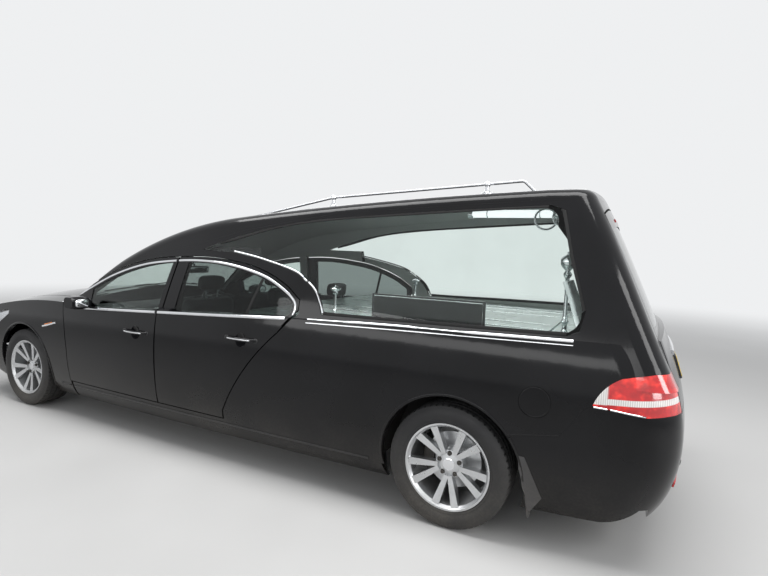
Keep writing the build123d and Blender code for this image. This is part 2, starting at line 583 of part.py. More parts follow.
# Engine block, exhaust, cabin furniture
engine = fillet(block(FA - 420, FA + 330, -205, 205, 345, 690).edges().filter_by(Axis.X), 40)
engine += block(FA - 40, FA + 40, -415, 415, RAIL_TOP + FIT_GAP, RAIL_TOP + 30)
exhaust = Pos((FA + RA) / 2 + 590, 260, 203) * Rot(0, 90, 0) * Cylinder(27, WHEELBASE + 340)
exhaust += Pos(RA + 560, 260, 208) * Rot(0, 90, 0) * Cylinder(80, 420)
for x in (FA + 700, FA + 1900, FA + 3000):
    exhaust += block(x - 15, x + 15, 250, 270, 215, 235 - FIT_GAP)
dash_line = outline(
    f_(cabin_x + FIT_GAP, 640), f_(cabin_x + FIT_GAP, 820), (f_(640, 893), f_(760, 875)), ((f_(800, 850)), f_(795, 800)), f_(700, 640))
dashboard = across(dash_line, inner_y - 85, -inner_y + 85)
console_line = outline(
    f_(560, SILL_TOP), f_(560, 700), f_(720, 700), f_(800, 560), f_(1120, 525), (f_(1260, 560), f_(1480, 555)),
    f_(1500, 540), f_(1500, SILL_TOP))
hood_line = outline(f_(690, 800), f_(700, 880), (f_(760, 915), f_(820, 905)), f_(812, 800))
dashboard = dashboard + across(console_line, 112, -112) + across(hood_line, 500, 240)
steering_wheel = Pos(FA + 905, 370, 800) * Rot(0, 62, 0) * (
    Torus(182, 15) + Cylinder(52, 26) + Box(30, 350, 14) + Pos(0, 0, -100) * Cylinder(22, 200))
steering_wheel -= Pos(FIT_GAP, 0, 0) * dashboard
steering_wheel = max(steering_wheel.solids(), key=lambda s: s.volume)


def seat(x, y0, y1, back_z=1010, lean=115):
    cushion = outline((x, SILL_TOP), (x, 500), ((x + 60, 535), (x + 140, 530)), (x + 470, 490), (x + 500, SILL_TOP))
    rest_ = outline((x + 430, 495), (x + 480, 760), (x + 430 + lean, back_z), (x + 520 + lean, back_z - 5), (x + 600, 720),
                    (x + 560, SILL_TOP), (x + 500, SILL_TOP))
    return across(cushion, y1, y0) + across(rest_, y1, y0)


def head_rest(x, y, z):
    """A rounded rest on two posts that stand in a seat back whose top is at z."""
    side = outline((x - 45, z + 55), ((x - 56, z + 110), (x - 30, z + 165)), ((x + 5, z + 175), (x + 30, z + 160)),
                   (x + 38, z + 55))
    front = along(Pos(y, z + 115) * RectangleRounded(250, 122, 38), x - 80, x + 80)
    pad = across(side, y + 140, y - 140) & front
    for offset_y in (-60, 60):
        pad += Pos(x, y + offset_y, z + 30) * Cylinder(7, 90)
    return pad


front_seat = seat(FA + 1010, 130, 640) + head_rest(FA + 1600, 385, 1000)
front_seats = [front_seat.solids()[0], other_side(front_seat).solids()[0]]
rear_seat = seat(FA + 1735, -700, 700, 960, 60) + head_rest(FA + 2272, -380, 950) + head_rest(FA + 2272, 380, 950)
print("seats", [round(s.volume / 1e3) for s in front_seats], [round(s.volume / 1e3) for s in rear_seat.solids()])

# Roof rails on posts
RAIL_R = 8.0
RAIL_Y = HALF_WIDTH - 443
rail_path = Plane(origin=(0, -RAIL_Y, 0), x_dir=(1, 0, 0), z_dir=(0, -1, 0)) * FilletPolyline(
    f_(1615, 1525), f_(2773, 1745), r_(32, 1804), r_(232, 1816), r_(300, 1752), radius=30)
rail_bar = sweep(Plane(origin=rail_path @ 0, z_dir=rail_path % 0) * Circle(RAIL_R), rail_path)
clear_roof = Pos(0, 0, FIT_GAP) * roof_volume
posts = [Pos(x, -RAIL_Y, z - 60) * Cylinder(11, 120) for x, z in ((FA + 2773, 1740), (RA + 32, 1800))]
roof_rail = (rail_bar + posts[0] + posts[1]) - clear_roof
print("rail", [round(s.volume / 1e3) for s in roof_rail.solids()])

# Mirrors on the doors
def mirror_head():
    shell_ = loft([
        Plane(origin=(FA + 860, -HALF_WIDTH + 28, 942), x_dir=(1, 0, 0), z_dir=(0, -1, 0)) * RectangleRounded(110, 66, 25),
        Plane(origin=(FA + 862, -HALF_WIDTH - 40, 946), x_dir=(1, 0, 0), z_dir=(0, -1, 0)) * RectangleRounded(128, 96, 34),
        Plane(origin=(FA + 868, -HALF_WIDTH - 120, 950), x_dir=(1, 0, 0), z_dir=(0, -1, 0)) * RectangleRounded(100, 78, 30)])
    return shell_ - Pos(0, -FIT_GAP, 0) * outer


door_mirror = max(mirror_head().solids(), key=lambda s: s.volume)
name_board = block(FA + 3237, FA + 3884, -HALF_WIDTH + 160, -HALF_WIDTH + 148, DECK_TOP + FIT_GAP, DECK_TOP + BOARD_TALL)
rear_flap = outline(r_(358, 450), r_(368, 445), r_(388.5, 290), r_(412, 146), r_(404, 146), r_(380, 292))
mud_flaps = [block(FA + 393.7, FA + 399.7, -HALF_WIDTH + 156, -HALF_WIDTH + 263, 140, 330),
             across(rear_flap, 263 - HALF_WIDTH, 168 - HALF_WIDTH)]

os.makedirs("parts", exist_ok=True)
save("side_frame", *side_frame)
save("roof_panel", roof_panel)
save("front_wings", front_wing, other_side(front_wing))
save("front_bumper", max(front_bumper.solids(), key=lambda s: s.volume))
save("rear_bumper", max(rear_bumper.solids(), key=lambda s: s.volume))
save("grille", max(grille.solids(), key=lambda s: s.volume))
save("headlights", headlight, other_side(headlight))
save("tail_lights", tail_light, other_side(tail_light))
save("bonnet", bonnet)
save("tailgate", tailgate)
save("tailgate_glass", tail_glass)
save("windscreen", windscreen)
save("deck_windows", deck_glass, other_side(deck_glass))
for side, turn in (("left", lambda s: s), ("right", other_side)):
    save("front_door_" + side, turn(front_door))
    save("rear_door_" + side, turn(rear_door))
    save("front_door_glass_" + side, turn(front_glass))
    save("rear_door_glass_" + side, turn(rear_glass))
    save("mirror_" + side, turn(door_mirror))
for end, x in (("front", FA), ("rear", RA)):
    for side, sign in (("left", -1), ("right", 1)):
        save("tyre_%s_%s" % (end, side), wheel(tyre, x, sign))
        save("rim_%s_%s" % (end, side), wheel(rim, x, sign), wheel(brake, x, sign))
save("knuckle_left", knuckle)
save("knuckle_right", other_side(knuckle))
save("front_axle", *front_axle)
save("rear_axle", *rear_axle)
save("underbody", *underbody)
save("load_deck", load_deck)
save("engine", engine)
save("exhaust", exhaust)
save("dashboard", dashboard)
save("steering_wheel", steering_wheel)
save("front_seats", *front_seats)
save("rear_seat", rear_seat)
save("roof_rails", *only_big(roof_rail), *only_big(other_side(roof_rail)))
save("name_board", name_board)
save("mud_flaps", *mud_flaps, *[other_side(m) for m in mud_flaps])
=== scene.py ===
# %% [markdown]
# # A black hearse around its CAD frame
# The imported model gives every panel, pane, wheel and hinge its place. This file dresses that
# frame: paint, glass, bright trim, tyres with tread, seats, lamps and the deck's fittings.
# All lengths are metres. The nose points to -X, the left side to -Y, and Z is up.

# %% Load the frame
import json
import math

import bmesh
import bpy
from mathutils import Matrix, Vector
from mathutils.bvhtree import BVHTree


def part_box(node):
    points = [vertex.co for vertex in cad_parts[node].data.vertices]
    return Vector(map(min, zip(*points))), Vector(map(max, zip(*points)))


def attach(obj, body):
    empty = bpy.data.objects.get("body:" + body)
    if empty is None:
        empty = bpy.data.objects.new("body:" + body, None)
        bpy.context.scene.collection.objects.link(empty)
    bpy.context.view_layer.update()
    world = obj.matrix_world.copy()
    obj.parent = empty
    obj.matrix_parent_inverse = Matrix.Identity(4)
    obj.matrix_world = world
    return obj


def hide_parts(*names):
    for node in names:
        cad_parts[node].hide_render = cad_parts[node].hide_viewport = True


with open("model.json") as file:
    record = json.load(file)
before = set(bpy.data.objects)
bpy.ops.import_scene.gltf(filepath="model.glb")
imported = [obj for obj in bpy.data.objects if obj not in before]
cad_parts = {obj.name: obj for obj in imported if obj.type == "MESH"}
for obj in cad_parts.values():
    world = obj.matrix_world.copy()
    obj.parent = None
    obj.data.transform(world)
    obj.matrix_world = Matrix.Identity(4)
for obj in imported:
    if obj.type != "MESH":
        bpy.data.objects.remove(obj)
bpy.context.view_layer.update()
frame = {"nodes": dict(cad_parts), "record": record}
nodes = frame["nodes"]
home = {node: body for body, names in frame["record"]["behaviour"]["bodies"].items() for node in names}
FRONT_AXLE, REAR_AXLE, HALF_WIDTH = -1.93, 1.82, 0.943
WHEEL_Y, WHEEL_Z = 0.79, 0.322
DECK_TOP, BOARD_TOP = 1.005, 1.013
BOTH = (("left", -1), ("right", 1))  # the sign of Y on each side
BACKDROP = (0.86, 0.87, 0.88, 1)

# %% [markdown]
# ## Camera, floor and lamps
# The camera stands where the photographer stood, low behind the left rear corner with a wide
# lens, a little rolled. Black paint shows what it reflects, so the room is plain: a pale floor
# that rises to the horizon colour, a broad soft lamp above, one at each side and one behind the
# tail. Wide lamps draw long smooth highlights along the roof edge and shoulders, which small ones
# can't.

# %% Camera
YAW, PITCH, ROLL = math.radians(26.66645), math.radians(4.29655), math.radians(2.09886)
back = Vector((math.sin(YAW) * math.cos(PITCH), -math.cos(YAW) * math.cos(PITCH), math.sin(PITCH)))
level = Vector((math.cos(YAW), math.sin(YAW), 0))
upright = back.cross(level)
right = math.cos(ROLL) * level + math.sin(ROLL) * upright
up = -math.sin(ROLL) * level + math.cos(ROLL) * upright
camera = bpy.data.objects.new("camera", bpy.data.cameras.new("camera"))
bpy.context.scene.collection.objects.link(camera)
stand_at = Matrix.Translation((2.621, -3.269, 1.416))
camera.matrix_world = stand_at @ Matrix((right, up, back)).transposed().to_4x4()
camera.data.lens, camera.data.sensor_width = 23.44, 36.0
camera.data.clip_end = 200
bpy.context.scene.camera = camera

# %% Lamps and world
scene = bpy.context.scene
scene.view_settings.view_transform = "Standard"


def soft_lamp(name, spot, aim, size, watts, tint=(1, 1, 1)):
    lamp = bpy.data.objects.new(name, bpy.data.lights.new(name, "AREA"))
    scene.collection.objects.link(lamp)
    lamp.data.shape = "RECTANGLE"
    lamp.data.size, lamp.data.size_y = size
    lamp.data.energy, lamp.data.color = watts, tint
    lamp.location = spot
    lamp.rotation_euler = (Vector(aim) - Vector(spot)).to_track_quat("-Z", "Y").to_euler()


soft_lamp("overhead", (0.4, -1.0, 5.6), (0.3, -0.2, 0), (9.0, 2.0), 400)
soft_lamp("left_side", (-0.5, -7.5, 3.1), (0.3, 0, 0.6), (8.0, 1.0), 90)
soft_lamp("tail", (6.6, -1.6, 3.0), (2.3, 0, 1.2), (1.7, 3.4), 135)
soft_lamp("far_side", (-2.0, 7.0, 4.0), (0, 0, 0.6), (8.0, 1.2), 80)

world = bpy.data.worlds.new("studio")
scene.world = world
world.use_nodes = True
sky = world.node_tree
sky.nodes["Background"].inputs["Color"].default_value = (0.8, 0.82, 0.85, 1)
sky.nodes["Background"].inputs["Strength"].default_value = 0.55
bright = sky.nodes.new("ShaderNodeBackground")
bright.inputs["Color"].default_value = BACKDROP
paths = sky.nodes.new("ShaderNodeLightPath")
seen = paths.outputs["Is Camera Ray"]
for ray in ("Is Glossy Ray", "Is Transmission Ray"):
    either = sky.nodes.new("ShaderNodeMath")
    either.operation = "MAXIMUM"
    sky.links.new(seen, either.inputs[0])
    sky.links.new(paths.outputs[ray], either.inputs[1])
    seen = either.outputs[0]
choose = sky.nodes.new("ShaderNodeMixShader")
sky.links.new(seen, choose.inputs[0])
sky.links.new(sky.nodes["Background"].outputs[0], choose.inputs[1])
sky.links.new(bright.outputs[0], choose.inputs[2])
sky.links.new(choose.outputs[0], sky.nodes["World Output"].inputs["Surface"])

# %% [markdown]
# ## Shader groups
# Dirt, grain and wear turn up on many finishes. Each is a node group with named inputs, built
# once, so paint, rubber and leather share the recipe and differ only in their numbers.

# %% Node helpers


def add(tree, kind, inputs=None, **settings):
    """Adds a node; an input takes a number, a colour or another node's output."""
    node = tree.nodes.new("ShaderNode" + kind)
    for key, value in settings.items():
        setattr(node, key, value)
    for key, value in (inputs or {}).items():
        if isinstance(value, bpy.types.NodeSocket):
            tree.links.new(value, node.inputs[key])
        else:
            node.inputs[key].default_value = value
    return node


def calc(tree, operation, *values, clamp=False):
    return add(tree, "Math", dict(enumerate(values)), operation=operation, use_clamp=clamp).outputs[0]


def spread(tree, value, low, high, to_low=0.0, to_high=1.0):
    """Smoothly maps low..high to to_low..to_high."""
    return add(tree, "MapRange", {0: value, 1: low, 2: high, 3: to_low, 4: to_high},
               interpolation_type="SMOOTHSTEP").outputs[0]


def noise(tree, spot, scale, detail=3.0, rough=0.55):
    return add(tree, "TexNoise", {"Vector": spot, "Scale": scale, "Detail": detail,
                                  "Roughness": rough}).outputs[0]


def blend_colour(tree, factor, a, b, how="MIX"):
    return add(tree, "Mix", {0: factor, 6: a, 7: b}, data_type="RGBA", blend_type=how).outputs[2]


def shader_group(name, inputs, *outputs):
    """An input is a number with that default, or a vector where the default is None."""
    tree = bpy.data.node_groups.new(name, "ShaderNodeTree")
    for label, value in inputs.items():
        kind = "NodeSocketVector" if value is None else "NodeSocketFloat"
        socket = tree.interface.new_socket(label, in_out="INPUT", socket_type=kind)
        if value is not None:
            socket.default_value = value
    for label in outputs:
        tree.interface.new_socket(label, in_out="OUTPUT", socket_type="NodeSocketFloat")
    return tree, tree.nodes.new("NodeGroupInput").outputs, tree.nodes.new("NodeGroupOutput").inputs


# %% Road film: dirt that thickens towards the ground
film_group, g_in, g_out = shader_group("RoadFilm", {"Vector": None, "Top": 0.6, "Amount": 0.5}, "Mask")
height = add(film_group, "SeparateXYZ", {0: g_in["Vector"]}).outputs[2]
fade = calc(film_group, "SUBTRACT", 1.0, calc(film_group, "DIVIDE", height, g_in["Top"], clamp=True),
            clamp=True)
patches = spread(film_group, noise(film_group, g_in["Vector"], 3.1, 5), 0.3, 0.72, 0.35, 1.0)
spray = spread(film_group, noise(film_group, g_in["Vector"], 90.0, 2), 0.35, 0.75, 0.55, 1.0)
film = calc(film_group, "MULTIPLY", calc(film_group, "MULTIPLY", calc(film_group, "POWER", fade, 1.4),
                                         patches), spray)
film_group.links.new(calc(film_group, "MULTIPLY", film, g_in["Amount"], clamp=True), g_out["Mask"])

# %% Grain: fine height for plastic, rubber, leather and paint
grain_group, g_in, g_out = shader_group("Grain", {"Vector": None, "Scale": 200.0, "Cells": 0.0}, "Height")
fine = noise(grain_group, g_in["Vector"], g_in["Scale"], 2)
cells = add(grain_group, "TexVoronoi", {"Vector": g_in["Vector"], "Scale": g_in["Scale"]}).outputs["Distance"]
grain_height = add(grain_group, "Mix", {0: g_in["Cells"], 2: fine, 3: cells}, data_type="FLOAT").outputs[0]
grain_group.links.new(grain_height, g_out["Height"])

# %% Wear: cloudy patches and thin scuffs
wear_group, g_in, g_out = shader_group("Wear", {"Vector": None, "Scale": 8.0, "Amount": 0.3}, "Cloud",
                                       "Scuff")
cloud = noise(wear_group, g_in["Vector"], g_in["Scale"], 4)
wear_group.links.new(cloud, g_out["Cloud"])
stretched = add(wear_group, "Mapping", {"Vector": g_in["Vector"], "Scale": (1.0, 1.0, 7.0)}).outputs[0]
thin = spread(wear_group, noise(wear_group, stretched, 60.0, 6, 0.7), 0.62, 0.7)
wear_group.links.new(calc(wear_group, "MULTIPLY", thin, g_in["Amount"], clamp=True), g_out["Scuff"])

# %% Cabin side: picks the faces of a panel that look inward
inside_group, g_in, g_out = shader_group("CabinSide", {}, "Mask")
coordinates = add(inside_group, "TexCoord").outputs
facing = add(inside_group, "SeparateXYZ", {0: coordinates["Normal"]}).outputs
place = add(inside_group, "SeparateXYZ", {0: coordinates["Object"]}).outputs
flank = calc(inside_group, "MULTIPLY", facing[1], calc(inside_group, "SIGN", place[1]))
inward = calc(inside_group, "LESS_THAN", flank, -0.35)
under = calc(inside_group, "MULTIPLY", calc(inside_group, "LESS_THAN", facing[2], -0.35),
             calc(inside_group, "GREATER_THAN", place[2], 1.02))
inside_group.links.new(calc(inside_group, "MAXIMUM", inward, under), g_out["Mask"])

# %% [markdown]
# ## Finishes
# One function builds a complete finish from those groups: a base colour that drifts a little,
# fine grain in the bump, road film low down and scuffs. Constant values such as metal or
# transmission stay on the shader's own sockets.

# %% Finish builder


def use(tree, group, **inputs):
    node = tree.nodes.new("ShaderNodeGroup")
    node.node_tree = group
    for key, value in inputs.items():
        if isinstance(value, bpy.types.NodeSocket):
            tree.links.new(value, node.inputs[key])
        else:
            node.inputs[key].default_value = value
    return node.outputs


DUST = (0.145, 0.13, 0.108, 1)


def finish(name, colour, roughness, drift=0.12, cloud_scale=6.0, grain=(300.0, 0.0, 0.02), film=(0.6, 0.0),
           scuff=0.0, scuff_colour=None, inside=None, **sockets):
    material = bpy.data.materials.new(name)
    material.use_nodes = True
    tree = material.node_tree
    shader = tree.nodes["Principled BSDF"]
    spot = add(tree, "TexCoord").outputs["Object"]
    base = (*colour, 1)
    wear = use(tree, wear_group, Vector=spot, Scale=cloud_scale, Amount=scuff)
    darker = tuple(c * (1 - drift) for c in colour) + (1,)
    lighter = tuple(min(1, c * (1 + drift)) for c in colour) + (1,)
    tone = blend_colour(tree, spread(tree, wear["Cloud"], 0.3, 0.7), darker, lighter)
    if scuff:
        rubbed = (*(scuff_colour or [min(1, c * 1.8 + 0.03) for c in colour]), 1)
        tone = blend_colour(tree, wear["Scuff"], tone, rubbed)
    dull = spread(tree, wear["Cloud"], 0.25, 0.75, roughness * 0.85, min(1, roughness * 1.25 + 0.01))
    if film[1]:
        dirt = use(tree, film_group, Vector=spot, Top=film[0], Amount=film[1])["Mask"]
        tone = blend_colour(tree, dirt, tone, DUST)
        dull = add(tree, "Mix", {0: dirt, 2: dull, 3: 0.75}, data_type="FLOAT").outputs[0]
    if inside:
        mask = use(tree, inside_group)["Mask"]
        tone = blend_colour(tree, mask, tone, (*inside, 1))
        dull = add(tree, "Mix", {0: mask, 2: dull, 3: 0.8}, data_type="FLOAT").outputs[0]
        if "Coat_Weight" in sockets:
            coat = calc(tree, "MULTIPLY", calc(tree, "SUBTRACT", 1.0, mask), sockets.pop("Coat_Weight"))
            tree.links.new(coat, shader.inputs["Coat Weight"])
    relief = use(tree, grain_group, Vector=spot, Scale=grain[0], Cells=grain[1])["Height"]
    bump = add(tree, "Bump", {"Height": relief, "Strength": grain[2], "Distance": 0.001})
    tree.links.new(tone, shader.inputs["Base Color"])
    tree.links.new(dull, shader.inputs["Roughness"])
    tree.links.new(bump.outputs[0], shader.inputs["Normal"])
    for key, value in sockets.items():
        shader.inputs[key.replace("_", " ")].default_value = value
    return material


# %% Coachwork, chrome and metals
paint = finish("coach_paint", (0.0065, 0.0065, 0.0075), 0.1, drift=0.25, cloud_scale=1.6,
               grain=(420.0, 0.0, 0.05), film=(0.62, 0.5), scuff=0.04, inside=(0.055, 0.055, 0.058),
               Coat_Weight=0.12, Coat_Roughness=0.03, Specular_IOR_Level=0.2)
lining_paint = finish("lined_paint", (0.0065, 0.0065, 0.0075), 0.1, drift=0.25, cloud_scale=1.6,
                      grain=(420.0, 0.0, 0.05), film=(0.62, 0.4), inside=(0.42, 0.43, 0.42), Coat_Weight=0.12,
                      Coat_Roughness=0.03, Specular_IOR_Level=0.2)
moulding = finish("painted_moulding", (0.007, 0.007, 0.008), 0.13, drift=0.25, cloud_scale=2.0,
                  grain=(380.0, 0.0, 0.05), film=(0.55, 0.4), scuff=0.05, Coat_Weight=0.1,
                  Coat_Roughness=0.05, Specular_IOR_Level=0.2)
chrome = finish("bright_trim", (0.76, 0.77, 0.79), 0.09, drift=0.05, grain=(500.0, 0.0, 0.02),
                film=(0.6, 0.3), scuff=0.06, Metallic=1.0)
rail_metal = finish("rail_metal", (0.5, 0.51, 0.53), 0.22, drift=0.08, grain=(600.0, 0.0, 0.05), scuff=0.1,
                    Metallic=1.0)
alloy = finish("silver_wheel", (0.6, 0.61, 0.62), 0.27, drift=0.08, grain=(700.0, 0.0, 0.05),
               film=(0.66, 0.32), scuff=0.1, Metallic=0.85)
steel = finish("chassis_steel", (0.085, 0.08, 0.075), 0.62, drift=0.3, grain=(160.0, 0.3, 0.4),
               film=(0.6, 0.6), scuff=0.3, scuff_colour=(0.16, 0.09, 0.05), Metallic=0.35)
exhaust_steel = finish("exhaust_pipe", (0.33, 0.31, 0.28), 0.38, drift=0.3, cloud_scale=9.0,
                       grain=(260.0, 0.0, 0.2), film=(0.4, 0.5), scuff=0.3, Metallic=0.9)
underseal = finish("underseal", (0.022, 0.022, 0.023), 0.82, drift=0.3, grain=(95.0, 0.6, 0.9),
                   film=(0.7, 0.85))

# %% Rubber, plastic and leather
rubber = finish("tyre_rubber", (0.019, 0.019, 0.02), 0.72, drift=0.2, grain=(420.0, 0.3, 0.35),
                film=(0.55, 0.55), scuff=0.25, scuff_colour=(0.07, 0.066, 0.06))
flap_rubber = finish("flap_rubber", (0.05, 0.05, 0.053), 0.6, drift=0.2, grain=(300.0, 0.2, 0.3),
                     film=(0.7, 0.7), scuff=0.3)
seal = finish("seal_rubber", (0.012, 0.012, 0.012), 0.5, drift=0.15, grain=(500.0, 0.0, 0.15),
              film=(0.5, 0.3), Specular_IOR_Level=0.25)
cabin = finish("cabin_plastic", (0.03, 0.03, 0.032), 0.55, drift=0.12, grain=(520.0, 0.9, 0.6), scuff=0.08)
satin_black = finish("satin_black", (0.016, 0.016, 0.017), 0.34, drift=0.15, grain=(420.0, 0.2, 0.15),
                     film=(0.5, 0.4), scuff=0.05)
leather = finish("seat_leather", (0.04, 0.04, 0.043), 0.46, drift=0.25, cloud_scale=9.0,
                 grain=(240.0, 0.85, 0.9), scuff=0.12, Sheen_Weight=0.15)

# %% Deck, board and lamps
deck_cover = finish("deck_cover", (0.56, 0.66, 0.64), 0.28, drift=0.06, cloud_scale=4.0,
                    grain=(240.0, 0.2, 0.12), scuff=0.12, scuff_colour=(0.4, 0.46, 0.45), Coat_Weight=0.3)
deck_metal = finish("deck_metal", (0.72, 0.74, 0.75), 0.24, drift=0.06, grain=(800.0, 0.0, 0.1), scuff=0.2,
                    Metallic=1.0)
board_gloss = finish("board_gloss", (0.008, 0.01, 0.01), 0.12, drift=0.2, grain=(400.0, 0.0, 0.02),
                     scuff=0.02, Coat_Weight=0.5)
plate_white = finish("plate_white", (0.72, 0.72, 0.7), 0.35, drift=0.04, grain=(500.0, 0.0, 0.05),
                     film=(0.8, 0.35))
plate_yellow = finish("plate_yellow", (0.72, 0.5, 0.03), 0.35, drift=0.04, grain=(500.0, 0.0, 0.05),
                      film=(0.8, 0.35))
amber = finish("amber_lens", (0.75, 0.2, 0.01), 0.12, drift=0.1, grain=(350.0, 1.0, 0.5), Coat_Weight=0.6)
red_lens = finish("red_reflector", (0.5, 0.006, 0.008), 0.1, drift=0.12, grain=(420.0, 1.0, 0.5),
                  Coat_Weight=0.8)
lamp_bowl = finish("lamp_bowl", (0.8, 0.81, 0.83), 0.13, drift=0.05, grain=(90.0, 1.0, 0.25), Metallic=1.0)
glow = finish("lamp_glow", (0.9, 0.92, 0.92), 0.3, drift=0.03, grain=(300.0, 0.0, 0.05),
              Emission_Color=(0.95, 0.98, 1.0, 1), Emission_Strength=0.9)


# %% [markdown]
# ### Glass
# Each pane is a thin closed solid, so true transmission works: light enters one face and leaves
# by the other. The tint sits in the base colour, and a faint film of wipe marks in the roughness.

# %% Glass


def glass(name, tint, roughness=0.0, relief=0.01):
    return finish(name, tint, max(roughness, 0.004), drift=0.02, cloud_scale=2.0, grain=(6.0, 0.0, relief),
                  Transmission_Weight=1.0, IOR=1.28)


clear_glass = glass("clear_glass", (0.9, 0.95, 0.93))
side_glass = glass("side_glass", (0.6, 0.68, 0.65))
dark_glass = glass("dark_glass", (0.24, 0.28, 0.27))
lens_glass = glass("lamp_lens", (0.95, 0.96, 0.97), 0.01, 0.05)
mirror_glass = finish("mirror_glass", (0.82, 0.84, 0.86), 0.02, drift=0.02, grain=(3.0, 0.0, 0.005),
                      Metallic=1.0)

# %% [markdown]
# ### Deck pane
# Fixed panes carry a fired black border that hides the glue, and its inner corners are round
# where the opening is angular. The border is drawn on the pane by place: a spot is black when it
# lies beyond the rounding circle of a corner, on the corner's side.

# %% Deck pane
deck_glass = glass("deck_glass", (0.9, 0.95, 0.93))
tree = deck_glass.node_tree
shader = tree.nodes["Principled BSDF"]
clear = shader.inputs["Base Color"].links[0].from_socket
across_x, _, across_z = add(tree, "SeparateXYZ", {0: add(tree, "TexCoord").outputs["Object"]}).outputs
border = None
PANE_CORNERS = ((2.318, 1.148, 0.09, -42, 48), (2.185, 1.583, 0.078, 38, 50))
for middle_x, middle_z, radius, towards, half_turn in PANE_CORNERS:
    from_x = calc(tree, "SUBTRACT", across_x, middle_x)
    from_z = calc(tree, "SUBTRACT", across_z, middle_z)
    reach = calc(tree, "SQRT", calc(tree, "ADD", calc(tree, "MULTIPLY", from_x, from_x),
                                    calc(tree, "MULTIPLY", from_z, from_z)))
    out_way = calc(tree, "ADD", calc(tree, "MULTIPLY", from_x, math.cos(math.radians(towards))),
                   calc(tree, "MULTIPLY", from_z, math.sin(math.radians(towards))))
    beyond = calc(tree, "MULTIPLY", spread(tree, reach, radius - 0.001, radius + 0.001),
                  calc(tree, "GREATER_THAN", out_way, radius * math.cos(math.radians(half_turn))))
    border = beyond if border is None else calc(tree, "MAXIMUM", border, beyond)
tree.links.new(blend_colour(tree, border, clear, (0.004, 0.004, 0.004, 1)), shader.inputs["Base Color"])

# %% [markdown]
# ### Tail lamp
# The lens is red, with a pale reversing band that runs through it and rises to the rear. The
# bands are drawn by height, measured along the lens. Stripes of two greys across the pale band are
# painted glints of the ribs in the moulding, and brighter patches of red with a faint emission
# glow are painted glints in the red part.

# %% Tail lamp lens
tail_lens = finish("tail_lens", (0.42, 0.004, 0.006), 0.07, drift=0.2, cloud_scale=30.0,
                   grain=(150.0, 1.0, 0.35), Coat_Weight=1.0, Coat_Roughness=0.02)
tree = tail_lens.node_tree
shader = tree.nodes["Principled BSDF"]
red = shader.inputs["Base Color"].links[0].from_socket
along_x, _, along_z = add(tree, "SeparateXYZ", {0: add(tree, "TexCoord").outputs["Object"]}).outputs
slope = calc(tree, "ADD", along_z, calc(tree, "MULTIPLY", calc(tree, "SUBTRACT", 2.75, along_x), 0.06))
band = calc(tree, "MULTIPLY", spread(tree, slope, 0.782, 0.786), spread(tree, slope, 0.812, 0.808))
tip = spread(tree, along_x, 2.552, 2.54)
pale = calc(tree, "MAXIMUM", band, calc(tree, "MULTIPLY", tip, spread(tree, slope, 0.78, 0.784)), clamp=True)
# Painted rib glints: the pale band's colour alternates between two greys along the lens.
painted_rib_glints = spread(tree, calc(tree, "SINE", calc(tree, "MULTIPLY", along_x, 700.0)), -0.6, 0.9)
pale_tone = blend_colour(tree, painted_rib_glints, (0.62, 0.6, 0.58, 1), (0.86, 0.85, 0.83, 1))
# Painted glints: noise patches where the red turns brighter.
painted_glints = spread(tree, noise(tree, add(tree, "TexCoord").outputs["Object"], 16.0, 2), 0.45, 0.75)
red_with_painted_glints = blend_colour(tree, painted_glints, red, (0.85, 0.035, 0.02, 1))
tree.links.new(blend_colour(tree, pale, red_with_painted_glints, pale_tone), shader.inputs["Base Color"])
# Painted glow: the lens emits a red that follows the painted glints, and a faint grey in the pale band.
painted_glow_tone = blend_colour(tree, pale, blend_colour(tree, painted_glints, (0.25, 0.0, 0.002, 1), (0.9, 0.03, 0.02, 1)),
                         (0.12, 0.11, 0.1, 1))
tree.links.new(painted_glow_tone, shader.inputs["Emission Color"])
shader.inputs["Emission Strength"].default_value = 0.45

# %% Dress the CAD nodes
DRESS = {
    paint: "front_wings bonnet tailgate mirror_left mirror_right",
    lining_paint: "side_frame roof_panel",
    moulding: "front_bumper rear_bumper",
    chrome: "grille",
    rail_metal: "roof_rails",
    clear_glass: "windscreen",
    deck_glass: "deck_windows",
    side_glass: "front_door_glass_left front_door_glass_right",
    dark_glass: "rear_door_glass_left rear_door_glass_right tailgate_glass",
    lens_glass: "headlights",
    tail_lens: "tail_lights",
    alloy: "rim_front_left rim_front_right rim_rear_left rim_rear_right",
    rubber: "tyre_front_left tyre_front_right tyre_rear_left tyre_rear_right",
    steel: "front_axle rear_axle knuckle_left knuckle_right engine",
    underseal: "underbody",
    deck_cover: "load_deck",
    exhaust_steel: "exhaust",
    cabin: "dashboard steering_wheel",
    leather: "front_seats rear_seat",
    board_gloss: "name_board",
    flap_rubber: "mud_flaps",
}
DOORS = [end + "_door_" + side for end in ("front", "rear") for side in ("left", "right")]
for material, names in list(DRESS.items()) + [(paint, " ".join(DOORS))]:
    for name in names.split():
        mesh_object = nodes[name]
        if not mesh_object.material_slots:
            mesh_object.data.materials.append(material)
        for slot in mesh_object.material_slots:
            slot.link = "OBJECT"
            slot.material = material

# %% [markdown]
# ## Mesh helpers
# Most trim is one of three things: a strip laid along a panel, a turned shape, or a tube along a
# path. Strips are laid by casting rays at the CAD panels, so they follow the real curvature, and
# a strip is cut wherever it meets a shut line, so each length rides on its own panel.

# %% Places, angles and one mesh object
at = Matrix.Translation
fresh = []


def aimed(spot, way, up="Y"):
    """A frame at a spot whose local Z points that way."""
    return at(spot) @ Vector(way).to_track_quat("Z", up).to_matrix().to_4x4()


def spun(degrees, axis):
    return Matrix.Rotation(math.radians(degrees), 4, axis)


def turns(count):
    return [math.tau * k / count for k in range(count)]


def tell(step):
    """Prints how many pieces were made since the last call."""
    print(step + ":", len(fresh), "pieces")
    fresh.clear()


